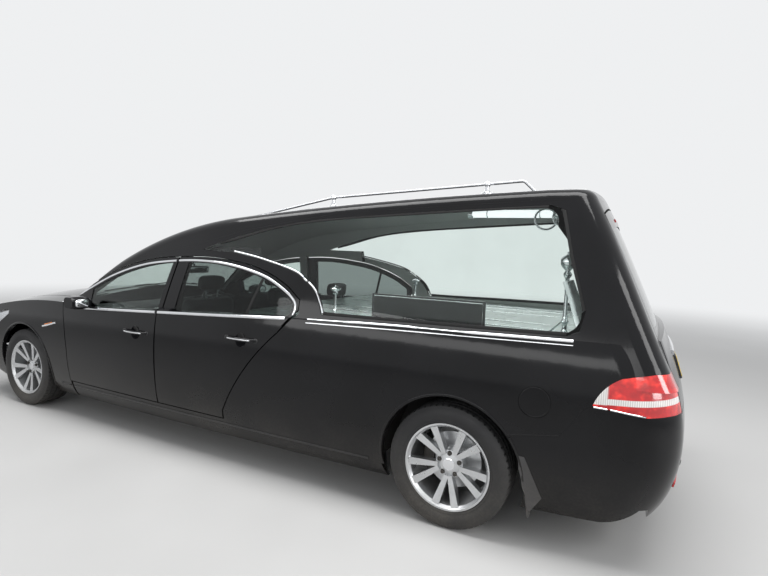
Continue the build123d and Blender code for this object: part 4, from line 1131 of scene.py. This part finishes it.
# %% Wipers
cowl_target = ray_target(["side_frame", "bonnet", "windscreen"])
for k, (start, stop, pivot) in enumerate((((0.02, 1.034), (-0.6, 0.992), 0.02),
                                          ((0.63, 0.985), (0.08, 1.032), 0.6))):
    path, normals = [], []
    for i in range(25):
        t = i / 24
        point, normal, _ = touch(screen_target, "front", start[0] + (stop[0] - start[0]) * t,
                                 start[1] + (stop[1] - start[1]) * t)
        path.append(point + normal * 0.0045)
        normals.append(normal)
    blade = [(-0.0035, -0.004), (-0.0035, 0.003), (0, 0.006), (0.0035, 0.003), (0.0035, -0.004)]
    piece("wiper_blade_%d" % k, *sweep(path, normals, blade), seal)
    knee = path[12] + normals[12] * 0.01
    foot, foot_normal, _ = touch(cowl_target, "top", -1.418, pivot)
    stand = aimed(foot, foot_normal)
    lathe("wiper_foot_%d" % k, [(-0.002, 0.017), (0.008, 0.016), (0.014, 0.012), (0.017, 0.0)], stand, 24,
          satin_black)
    foot = foot + foot_normal * 0.01
    tube("wiper_arm_%d" % k, [foot, foot * 0.6 + knee * 0.4 + foot_normal * 0.012, knee], 0.0045, satin_black)
tell("wipers")

# %% Arch lips and sill line
ARCH_RADIUS = 0.38
for side in ("left", "right"):
    for end, x in (("front", FRONT_AXLE), ("rear", REAR_AXLE)):
        arc = []
        for k in range(41):
            a = math.radians(-14 + 208 * k / 40)
            arc.append((x + ARCH_RADIUS * math.cos(a), WHEEL_Z + ARCH_RADIUS * math.sin(a)))
        lay("arch_lip_%s_%s" % (end, side), arc, side, 0.013, 0.0045, paint, step=0.02)
    lay("sill_line_" + side, [(-1.45, 0.262), (-0.5, 0.262), (0.5, 0.262), (1.36, 0.262)], side, 0.016, 0.005,
        satin_black, step=0.03)
tell("arch lips and sill lines")

# %% Outer wings of the rear flaps
SHEET_Y = 0.7745  # where the CAD flap ends and the outer sheet begins
# Each row holds the height, the front edge and the rear edge.
WING_ROWS = [(0.461, 2.176, 2.204), (0.43, 2.178, 2.218), (0.4, 2.181, 2.231), (0.35, 2.191, 2.252),
             (0.301, 2.201, 2.272), (0.258, 2.211, 2.288), (0.22, 2.219, 2.263), (0.185, 2.226, 2.24)]
for side, sign in BOTH:
    layers, level = [], [None] * 5
    for z, front, rear in WING_ROWS:
        for k in range(5):
            x = front + (rear - front) * k / 4
            hit = touch(side_target, side, x, z)
            if hit and abs(hit[0].y) > 0.84:
                level[k] = abs(hit[0].y)
            level[k] = level[k] or max(v for v in level if v)
            layers.append(Vector((x, sign * level[k], z)))
    verts = [v + Vector((0, sign * 0.0035, 0)) for v in layers]
    verts += [v - Vector((0, sign * 0.001, 0)) for v in layers]
    rows, half = len(WING_ROWS), len(layers)
    rim = list(range(5)) + [5 * r + 4 for r in range(1, rows)]
    rim += [5 * (rows - 1) + k for k in (3, 2, 1, 0)] + [5 * r for r in range(rows - 2, 0, -1)]
    faces = [(5 * r + k, 5 * r + k + 1, 5 * r + k + 6, 5 * r + k + 5) for r in range(rows - 1)
             for k in range(4)]
    faces += [tuple(half + i for i in face) for face in faces]
    faces += [(a, b, half + b, half + a) for a, b in zip(rim, rim[1:] + rim[:1])]
    piece("flap_wing_" + side, verts, faces, flap_rubber)
    low_wing = min(v.y * sign for v in layers)
    sheet = [(2.178, 0.45), (2.188, 0.445), (2.2085, 0.29), (2.232, 0.146), (2.224, 0.146), (2.2, 0.292)]
    place = at((0, sign * SHEET_Y, 0)) @ Matrix(((1, 0, 0, 0), (0, 0, sign, 0), (0, 1, 0, 0), (0, 0, 0, 1)))
    piece("flap_sheet_" + side, *slab(sheet, low_wing - SHEET_Y - 0.001, place, edge=0.001), flap_rubber)
tell("flap wings")

# %% Rail feet
roof_target = ray_target(["roof_panel"])
for side, sign in BOTH:
    feet = []
    for x, top in ((0.843, 1.745), (1.852, 1.804)):
        point, normal, _ = touch(roof_target, "top", x, sign * 0.5)
        stand = aimed(point, normal)
        feet.append(turned([(-0.002, 0.034), (0.004, 0.034), (0.009, 0.028), (0.013, 0.018), (0.022, 0.014),
                            (0.03, 0.0125)], stand, 32))
        feet.append(turned([(-0.014, 0.0112), (-0.01, 0.015), (-0.004, 0.0165), (0.004, 0.0165),
                            (0.01, 0.015), (0.014, 0.0112)], at((x, sign * 0.5, top)), 28))
    piece("rail_feet_" + side, *merged(feet), chrome)
tell("rail feet")

# %% [markdown]
# ## The load deck
# The deck is a pale washable board with bright runners let into it, so that a load slides in
# from the tailgate. Turned posts stand at its corners and a strip lamp hangs below the roof.

# %% Deck runners
deck_target = ray_target(["load_deck"])
runners = []
for y, width in ((-0.7, 0.012), (-0.655, 0.012), (-0.45, 0.026), (-0.22, 0.026), (0.22, 0.026), (0.45, 0.026),
                 (0.655, 0.012), (0.7, 0.012)):
    level = BOARD_TOP if abs(y) < 0.55 else DECK_TOP
    reach = [x for x in (0.48 + 0.01 * i for i in range(220)) if touch(deck_target, "top", x, y)
             and abs(touch(deck_target, "top", x, y)[0].z - level) < 0.002]
    if len(reach) < 10:
        continue
    ends = [Vector((reach[0] + 0.03, y, level)), Vector((reach[-1] - 0.03, y, level))]
    runners.append(sweep(ends, [Vector((0, 0, 1))] * 2, strip_section(width, 0.0035)))
piece("deck_runners", *merged(runners), deck_metal)
tell("deck runners as one piece, in %d lengths" % len(runners))

# %% Corner posts with ball tops, stays and rings
POST = [(0, 0.036), (0.004, 0.036), (0.008, 0.03), (0.014, 0.016), (0.03, 0.011), (0.06, 0.013),
        (0.07, 0.018), (0.08, 0.013), (0.1, 0.01), (0.2, 0.0085), (0.3, 0.01), (0.312, 0.018), (0.322, 0.02),
        (0.332, 0.014), (0.338, 0.011), (0.346, 0.016), (0.356, 0.026), (0.372, 0.034), (0.39, 0.036),
        (0.406, 0.03), (0.418, 0.018), (0.424, 0.007), (0.43, 0.005), (0.436, 0.008), (0.441, 0.0)]
for side, sign in BOTH:
    rear_foot = Vector((2.3, sign * 0.48, DECK_TOP))
    lathe("deck_post_rear_" + side, [(a, r * 1.12) for a, r in POST], at(rear_foot), 32, chrome)
    front_foot = Vector((0.96, sign * 0.63, DECK_TOP))
    low_post = [(a * 0.42, r * 0.9) for a, r in POST]
    lathe("deck_post_front_" + side, low_post, at(front_foot), 32, chrome)
    stay = [Vector((2.308, sign * 0.5, 1.29)), Vector((2.345, sign * 0.545, 1.21)),
            Vector((2.418, sign * 0.61, DECK_TOP + 0.003))]
    normals = [Vector((0.3, sign * 1.0, 0.2)).normalized()] * 3
    flat_bar = [(-0.028, -0.004), (-0.028, 0.003), (-0.024, 0.006), (0.024, 0.006), (0.028, 0.003),
                (0.028, -0.004)]
    piece("deck_stay_" + side, *sweep(stay, normals, flat_bar), deck_metal)
    tube("deck_ring_" + side, [Vector((2.2 + 0.03 * math.cos(a), sign * (0.62 + 0.03 * math.sin(a)),
                                       DECK_TOP + 0.0045)) for a in turns(12)], 0.0035, chrome, closed=True,
         step=0.004)
tell("posts, stays and rings")

# %% Strip lamp below the roof
lamp_y, lamp_z = -0.15, 1.668
along_axis = aimed((1.64, lamp_y, lamp_z), (1, 0, 0))
lathe("strip_lamp_tube", [(0.012, 0.0), (0.012, 0.024), (0.6, 0.024), (0.6, 0.0)], along_axis, 28, glow)
collars = []
for start, length, radius in ((0.0, 0.036, 0.029), (0.52, 0.09, 0.031), (0.44, 0.012, 0.027),
                              (0.12, 0.012, 0.027)):
    collars.append(turned([(start, 0.0), (start, radius * 0.8), (start + 0.004, radius),
                           (start + length - 0.004, radius), (start + length, radius * 0.8),
                           (start + length, 0.0)], along_axis, 28))
piece("strip_lamp_collars", *merged(collars), chrome)
inner_roof = ray_target(["roof_panel"])
hangers = []
for x in (1.7, 2.2):
    above = touch(inner_roof, "inside_up", x, lamp_y)
    top = above[0].z + 0.001
    hangers.append(turned([(lamp_z + 0.02, 0.006), (top - 0.012, 0.006), (top - 0.008, 0.012), (top, 0.022)],
                          at((x, lamp_y, 0)), 20))
piece("strip_lamp_hangers", *merged(hangers), chrome)
for name, x, drop, radius in (("small", 2.215, 0.022, 0.048), ("large", 2.125, 0.034, 0.06)):
    hoop = [Vector((x + radius * math.cos(a), lamp_y - 0.034 + 0.3 * radius * math.cos(a),
                    lamp_z - drop + radius * math.sin(a))) for a in turns(14)]
    tube("strip_lamp_hoop_" + name, hoop, 0.006, chrome, closed=True, step=0.006)
tell("strip lamp")

# %% [markdown]
# ## Brake calipers
# A caliper bridges the disc with a U-shaped casting. It stays still while the wheel turns, so the
# front ones ride on the steered knuckles and the rear ones on the body. The U is swept through
# part of a turn and closed at both ends.

# %% Calipers
U_SECTION = [(0.006, 0.108), (0.018, 0.104), (0.018, 0.153), (0.0365, 0.153), (0.0365, 0.104), (0.05, 0.108),
             (0.052, 0.15), (0.048, 0.164), (0.04, 0.17), (0.014, 0.17), (0.006, 0.16)]
for end, side, hub, sign in WHEELS:
    if end == "front":
        start, body = -32, "steered_" + side
    else:
        start, body = 148, "body"
    verts, faces = [], []
    steps, n = 16, len(U_SECTION)
    for k in range(steps + 1):
        turn = math.radians(start + 64 * k / steps)
        ease = 0.006 * (abs(2 * k / steps - 1) ** 4)
        for along, radius in U_SECTION:
            radius = radius - ease if radius > 0.15 else radius + ease
            verts.append(hub + Vector((radius * math.cos(turn), -sign * along, radius * math.sin(turn))))
    for k in range(steps):
        faces += [(k * n + i, k * n + (i + 1) % n, (k + 1) * n + (i + 1) % n, (k + 1) * n + i)
                  for i in range(n)]
    faces += [tuple(range(n)), tuple(range(steps * n, (steps + 1) * n))]
    piece("caliper_%s_%s" % (end, side), verts, faces, steel, body, sharp=25)
tell("calipers")

# %% [markdown]
# ## Cabin fittings
# The doors get moulded cards with an armrest, a pull and a speaker cover. The dashboard gets
# vents, an instrument panel and a screen, and the console a lever, cup wells and an armrest.
# Rounded blocks and plates with eased edges are enough, because moulded plastic is just that.

# %% Door cards
DOOR_WALL = 0.088
CARDS = {  # outline, armrest from and to, armrest height
    "front": ([(-1.255, 0.335), (-0.375, 0.335), (-0.375, 0.87), (-1.235, 0.842), (-1.262, 0.7)], -1.02, -0.5,
              0.64),
    "rear": ([(-0.19, 0.335), (0.185, 0.335), (0.27, 0.47), (0.405, 0.64), (0.6, 0.8), (0.64, 0.88),
              (-0.19, 0.862)], -0.1, 0.335, 0.665),
}


def door_frame(sign):
    """Local X along the car, Y up, Z inboard from the door's inner face."""
    across = Vector((0, -sign, 0))
    x_dir = Vector((0, 0, 1)).cross(across)
    place = Matrix((x_dir, Vector((0, 0, 1)), across)).transposed().to_4x4()
    return at((0, sign * (HALF_WIDTH - DOOR_WALL), 0)) @ place, x_dir.x


for end, (outline, grip_from, grip_to, grip_z) in CARDS.items():
    for side, sign in BOTH:
        body = "%s_door_%s" % (end, side)
        place, flip = door_frame(sign)
        shaped = [(p[0] * flip, p[1]) for p in outline]
        piece("door_card_%s_%s" % (end, side), *slab(shaped, 0.009, place, edge=0.004), cabin, body)
        insert = [((p[0] * 0.8 + 0.2 * (grip_from + grip_to) / 2) * flip, 0.66 + (p[1] - 0.62) * 0.42)
                  for p in outline]
        piece("card_insert_%s_%s" % (end, side), *slab(insert, 0.006, place @ at((0, 0.02, 0.009)),
                                                       edge=0.004), leather, body)
        rest = [((grip_from + (grip_to - grip_from) * t) * flip, grip_z + 0.012 * math.sin(math.pi * t))
                for t in (k / 16 for k in range(17))]
        path = [place @ Vector((x, z, 0.028)) for x, z in rest]
        inward = [Vector((0, -sign, 0))] * len(path)
        arm = [(-0.026, -0.021), (-0.026, 0.01), (-0.016, 0.022), (0.0, 0.026), (0.016, 0.022), (0.024, 0.01),
               (0.024, -0.021)]
        piece("door_armrest_%s_%s" % (end, side), *sweep(path, inward, arm), leather, body)
        middle = (grip_from + grip_to) / 2
        pull = [place @ Vector(((middle + d) * flip, grip_z + 0.105, h)) for d, h in
                ((-0.05, 0.014), (-0.035, 0.03), (0.0, 0.034), (0.035, 0.03), (0.05, 0.014))]
        tube("door_pull_%s_%s" % (end, side), pull, 0.0055, chrome, body, step=0.006)
        speaker_x = (grip_from - 0.08) if end == "front" else (grip_from + 0.06)
        cover = []
        for ring in range(5):
            radius = 0.022 + 0.014 * ring
            cover.append(turned([(0.0085, radius - 0.004), (0.0125, radius - 0.002), (0.0125, radius + 0.002),
                                 (0.0085, radius + 0.004)], place @ at((speaker_x * flip, 0.44, 0)), 36))
        piece("speaker_cover_%s_%s" % (end, side), *merged(cover), cabin, body)
tell("door cards")

# %% Dashboard face
dash_target = ray_target(["dashboard"])


def dash_place(x, y, z, degrees):
    """Local Z faces the seats, tilted up by degrees; local X runs to the right."""
    turn = math.radians(degrees)
    out = Vector((math.cos(turn), 0, math.sin(turn)))
    right_way = Vector((0, 1, 0))
    return at((x, y, z)) @ Matrix((right_way, out.cross(right_way), out)).transposed().to_4x4()


vents = []
for y in (-0.62, -0.1, 0.1, 0.62):
    place = on_panel(dash_target, "rear", y, 0.772)[0]
    panel("vent_frame_%d" % (1000 + y * 1000), 0.128, 0.062, 0.012, 0.01, place, satin_black)
    for k in range(5):
        vents.append(slab(rounded_rect(0.108, 0.0035, 0.0015), 0.004,
                          place @ at((0, -0.02 + 0.01 * k, 0.01))))
piece("vent_fins", *merged(vents), deck_metal)
panel("dash_strip", 1.3, 0.014, 0.005, 0.007, on_panel(dash_target, "rear", 0, 0.722)[0], deck_metal)
panel("centre_screen", 0.2, 0.115, 0.01, 0.012, dash_place(-1.1265, 0, 0.842, 4), board_gloss)
dials = []
panel("dial_panel", 0.235, 0.078, 0.03, 0.006, on_panel(dash_target, "rear", 0.37, 0.856)[0], board_gloss)
for y, radius in ((0.31, 0.03), (0.37, 0.02), (0.43, 0.03)):
    dials.append(turned([(0.006, radius), (0.009, radius), (0.01, radius - 0.002), (0.0075, radius - 0.003)],
                        on_panel(dash_target, "rear", y, 0.856)[0], 32))
piece("dial_rings", *merged(dials), chrome)
lid = [touch(dash_target, "rear", y, z) for y, z in ((-0.66, 0.7), (-0.66, 0.712), (-0.24, 0.712),
                                                     (-0.24, 0.7))]
piece("glovebox_line", *sweep([p + n * 0.0003 for p, n, _ in lid], [n for _, n, _ in lid],
                              strip_section(0.004, 0.0012)), seal)
tell("dashboard")

# %% Console, lever and inside mirror
lever_foot = Vector((-0.99, 0, 0.545))
lever = [lever_foot + Vector(spot) for spot in ((0, 0, 0), (0.012, 0, 0.06), (0.014, 0, 0.095))]
tube("gear_lever_stem", lever, 0.0065, chrome)
knob = foam_block("gear_knob", (0.052, 0.046, 0.058), lambda u, v, w: 0.004 * w * (1 - u * u), leather,
                  cells=9, power=3.2)
knob.data.transform(at(lever_foot + Vector((0.016, 0, 0.112))))
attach(knob, "body")
gate = [Vector((-0.99 + 0.055 * math.cos(a), 0.048 * math.sin(a), 0.5445)) for a in turns(14)]
tube("gear_gate_ring", gate, 0.0035, chrome, closed=True, step=0.006)
boot = turned([(-0.003, 0.044), (0.006, 0.041), (0.012, 0.034), (0.017, 0.036), (0.024, 0.027), (0.03, 0.028),
               (0.04, 0.017), (0.052, 0.01)], at((-0.99, 0, 0.545)) @ Matrix.Rotation(0.12, 4, "Y"), 28)
piece("gear_boot", *boot, leather)
wells = []
for x in (-0.845, -0.755):
    wells.append(turned([(-0.004, 0.04), (0.004, 0.04), (0.006, 0.037), (0.003, 0.034), (-0.002, 0.033),
                         (-0.002, 0.0)], on_panel(dash_target, "top", x, 0, Vector((-1, 0, 0)))[0], 32))
piece("cup_wells", *merged(wells), satin_black)
arm = foam_block("console_armrest", (0.25, 0.19, 0.05),
                 lambda u, v, w: 0.007 * (1 - u * u) * (1 - v * v) * max(w, 0), leather, cells=18, power=6.0)
swell(arm, 0.004)
press(arm, [lambda p: abs(p.z) if abs(p.z) < 0.02 else 1.0], 0.002, 0.004)
arm.data.transform(at((-0.565, 0, touch(dash_target, "top", -0.565, 0)[0].z + 0.0195)))
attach(arm, "body")
mirror_at = Vector((-0.905, 0.0, 1.185))
wide_turn = at(mirror_at) @ spun(90, "X") @ spun(90, "Y")
panel("cabin_mirror", 0.23, 0.062, 0.022, 0.02, wide_turn, satin_black, count=8)
panel("cabin_mirror_glass", 0.218, 0.05, 0.018, 0.002, wide_turn @ at((0, 0, 0.02)), mirror_glass, count=8)
screen_spot = touch(screen_target, "front", 0.0, 1.262)[0]
tube("cabin_mirror_stalk", [screen_spot + Vector((0.012, 0, -0.008)), screen_spot + Vector((0.035, 0, -0.03)),
                            mirror_at + Vector((0.001, 0, 0.01))], 0.008, satin_black)
tell("console and mirror")

# %% Steering wheel pad and stalks
steering = at((-1.025, 0.37, 0.8)) @ spun(62, "Y")
GRIP_RADIUS = 0.182
pad = foam_block("wheel_pad", (0.13, 0.15, 0.04),
                 lambda u, v, w: 0.01 * (1 - u * u) * (1 - v * v) * max(w, 0), cabin, cells=14, power=4.5)
pad.data.transform(steering @ at((0, 0, 0.014)))
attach(pad, "body")
rim_path = [steering @ Vector((GRIP_RADIUS * math.cos(a), GRIP_RADIUS * math.sin(a), 0)) for a in turns(20)]
tube("wheel_rim_leather", rim_path, 0.0168, leather, closed=True, count=16, step=0.014)
spoke = [steering @ Vector((r, 0, 0.004)) for r in (0.06, 0.11, 0.168)]
tube("wheel_low_spoke", spoke, 0.01, deck_metal)
for sign in (-1, 1):
    root = steering @ Vector((0, sign * 0.028, -0.07))
    end = steering @ Vector((-0.02, sign * 0.165, -0.05))
    tube("column_stalk_%s" % ("low" if sign < 0 else "high"), [root, (root + end) / 2, end], 0.0065,
         satin_black)
tell("steering wheel")

# %% [markdown]
# ## Under the bonnet
# The CAD engine is one plain block, so the things a driver sees around it are added here: a
# ribbed cover, an air box, a battery, a tank with its cap and the radiator behind the grille.

# %% Engine cover and boxes


def moulded_box(name, low, high, material, body="body", power=10.0, ribs=0, cells=16):
    """Rounded box between two corners, with ribs pressed along its top."""
    low, high = Vector(low), Vector(high)
    size, middle = high - low, (low + high) / 2
    obj = foam_block(name, size, lambda u, v, w: 0.0, material, cells, power)
    if ribs:
        for vert in obj.data.vertices:
            if vert.co.z > size.z * 0.42 and abs(vert.co.x) < size.x * 0.42:
                vert.co.z -= 0.006 * (0.5 + 0.5 * math.cos(math.tau * ribs * vert.co.y / size.y))
    obj.data.transform(at(middle))
    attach(obj, body)


moulded_box("engine_cover", (-2.3, -0.185, 0.691), (-1.64, 0.185, 0.742), cabin, ribs=7, cells=30)
moulded_box("air_box", (-2.27, 0.27, 0.45), (-1.99, 0.47, 0.705), cabin, ribs=4)
moulded_box("battery", (-2.25, -0.475, 0.45), (-2.01, -0.29, 0.65), satin_black)
moulded_box("coolant_tank", (-1.78, -0.44, 0.5), (-1.64, -0.29, 0.665), plate_white, power=5.0)
for name, (x, y, z), radius in (("tank_cap", (-1.71, -0.365, 0.664), 0.028),
                                ("oil_cap", (-1.9, 0.075, 0.741), 0.026)):
    lathe(name, [(0, radius), (0.01, radius), (0.014, radius * 0.86), (0.016, 0)], at((x, y, z)), 24,
          satin_black, sharp=25)
for k, x in enumerate((-2.205, -2.055)):
    lathe("battery_post_%d" % k, [(0, 0.014), (0.01, 0.013), (0.014, 0.009), (0.015, 0)],
          at((x, -0.34, 0.65)), 18, deck_metal)
tube("intake_duct", [(-2.15, 0.3, 0.64), (-2.17, 0.24, 0.69), (-2.22, 0.17, 0.705)], 0.032, cabin, count=20)
fins = []
for k in range(56):
    y = -0.345 + 0.69 * k / 55
    fins.append(slab([(-0.105, -0.0018), (0.105, -0.0018), (0.105, 0.0018), (-0.105, 0.0018)], 0.02,
                     at((-2.65, y, 0.47)) @ spun(90, "Y"), edge=0.0006))
piece("radiator_fins", *merged(fins), steel)
for name, z in (("low", 0.355), ("high", 0.585)):
    moulded_box("radiator_tank_" + name, (-2.66, -0.37, z - 0.02), (-2.62, 0.37, z + 0.02), cabin, cells=20)
tell("engine bay")

# %% Fog lamps, board edge and exhaust collar
for side, sign in BOTH:
    skin = touch(front_target, "front", sign * 0.63, 0.402)[0]
    aim = aimed((skin.x + 0.02, sign * 0.63, 0.343), (-1, sign * 0.12, 0))
    lathe("fog_bowl_" + side, [(-0.035, 0.0), (-0.03, 0.018), (-0.01, 0.031), (0.002, 0.034), (0.003, 0.037),
                               (-0.012, 0.037), (-0.04, 0.022), (-0.043, 0.0)], aim, 32, lamp_bowl)
    lathe("fog_glass_" + side, [(0.001, 0.0335), (0.004, 0.03), (0.007, 0.018), (0.008, 0.0)], aim, 32,
          lens_glass)
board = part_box("name_board")
edge_y = board[0][1]
ring = [Vector((x, edge_y, z)) for x, z in ((board[0][0] + 0.012, board[0][2] + 0.012),
                                            (board[1][0] - 0.012, board[0][2] + 0.012),
                                            (board[1][0] - 0.012, board[1][2] - 0.012),
                                            (board[0][0] + 0.012, board[1][2] - 0.012))]
piece("board_edge_line", *sweep(ring, [Vector((0, -1, 0))] * 4, strip_section(0.0035, 0.0012, 0.0005),
                                closed=True), deck_metal)
moulded_box("tip_collar", (2.56, 0.226, 0.169), (2.64, 0.294, 0.237), chrome, power=3.0)
tell("fog lamps, edge and collar")

# %% Belts on the centre posts
BELT_DROP = [(-0.262, 0.722, 1.11), (-0.275, 0.748, 0.95), (-0.285, 0.79, 0.72), (-0.288, 0.796, 0.45),
             (-0.288, 0.796, 0.335)]
for side, sign in BOTH:
    points = [(x, sign * y, z) for x, y, z in BELT_DROP]
    path = smooth_path(points, 0.02)
    web = [(-0.022, -0.0007), (-0.022, 0.0007), (0.0, 0.0011), (0.022, 0.0007), (0.022, -0.0007),
           (0.0, -0.0003)]
    piece("belt_" + side, *sweep(path, [Vector((0, -sign, 0))] * len(path), web), seal)
tell("belts")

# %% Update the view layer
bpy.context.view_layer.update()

# %% [markdown]
# ## Floor
# A plain pale floor takes the shadow. Far from the object it turns into the backdrop's colour,
# so that no hard line marks its end. That far part shines only for the rays that see it, and so
# sends no extra light onto the object.

# %% Floor
FADE_FROM, FADE_TO = 5.0, 16.0
bpy.ops.mesh.primitive_plane_add(size=120, location=(0, 0, 0))
floor = bpy.context.object
floor.name = "floor"
floor_finish = finish("floor", (0.5, 0.497, 0.49), 0.6, drift=0.02, cloud_scale=0.8, grain=(60.0, 0.2, 0.05))
tree = floor_finish.node_tree
away = add(tree, "VectorMath", {0: add(tree, "TexCoord").outputs["Object"]},
           operation="LENGTH").outputs["Value"]
rays = add(tree, "LightPath").outputs
sees = calc(tree, "MAXIMUM", rays["Is Camera Ray"],
            calc(tree, "MAXIMUM", rays["Is Glossy Ray"], rays["Is Transmission Ray"]))
far = calc(tree, "MULTIPLY", spread(tree, away, FADE_FROM, FADE_TO), sees)
backdrop = add(tree, "Emission", {"Color": BACKDROP, "Strength": 1.0})
both = add(tree, "MixShader", {0: far, 1: tree.nodes["Principled BSDF"].outputs[0], 2: backdrop.outputs[0]})
tree.links.new(both.outputs[0], tree.nodes["Material Output"].inputs["Surface"])
floor.data.materials.append(floor_finish)
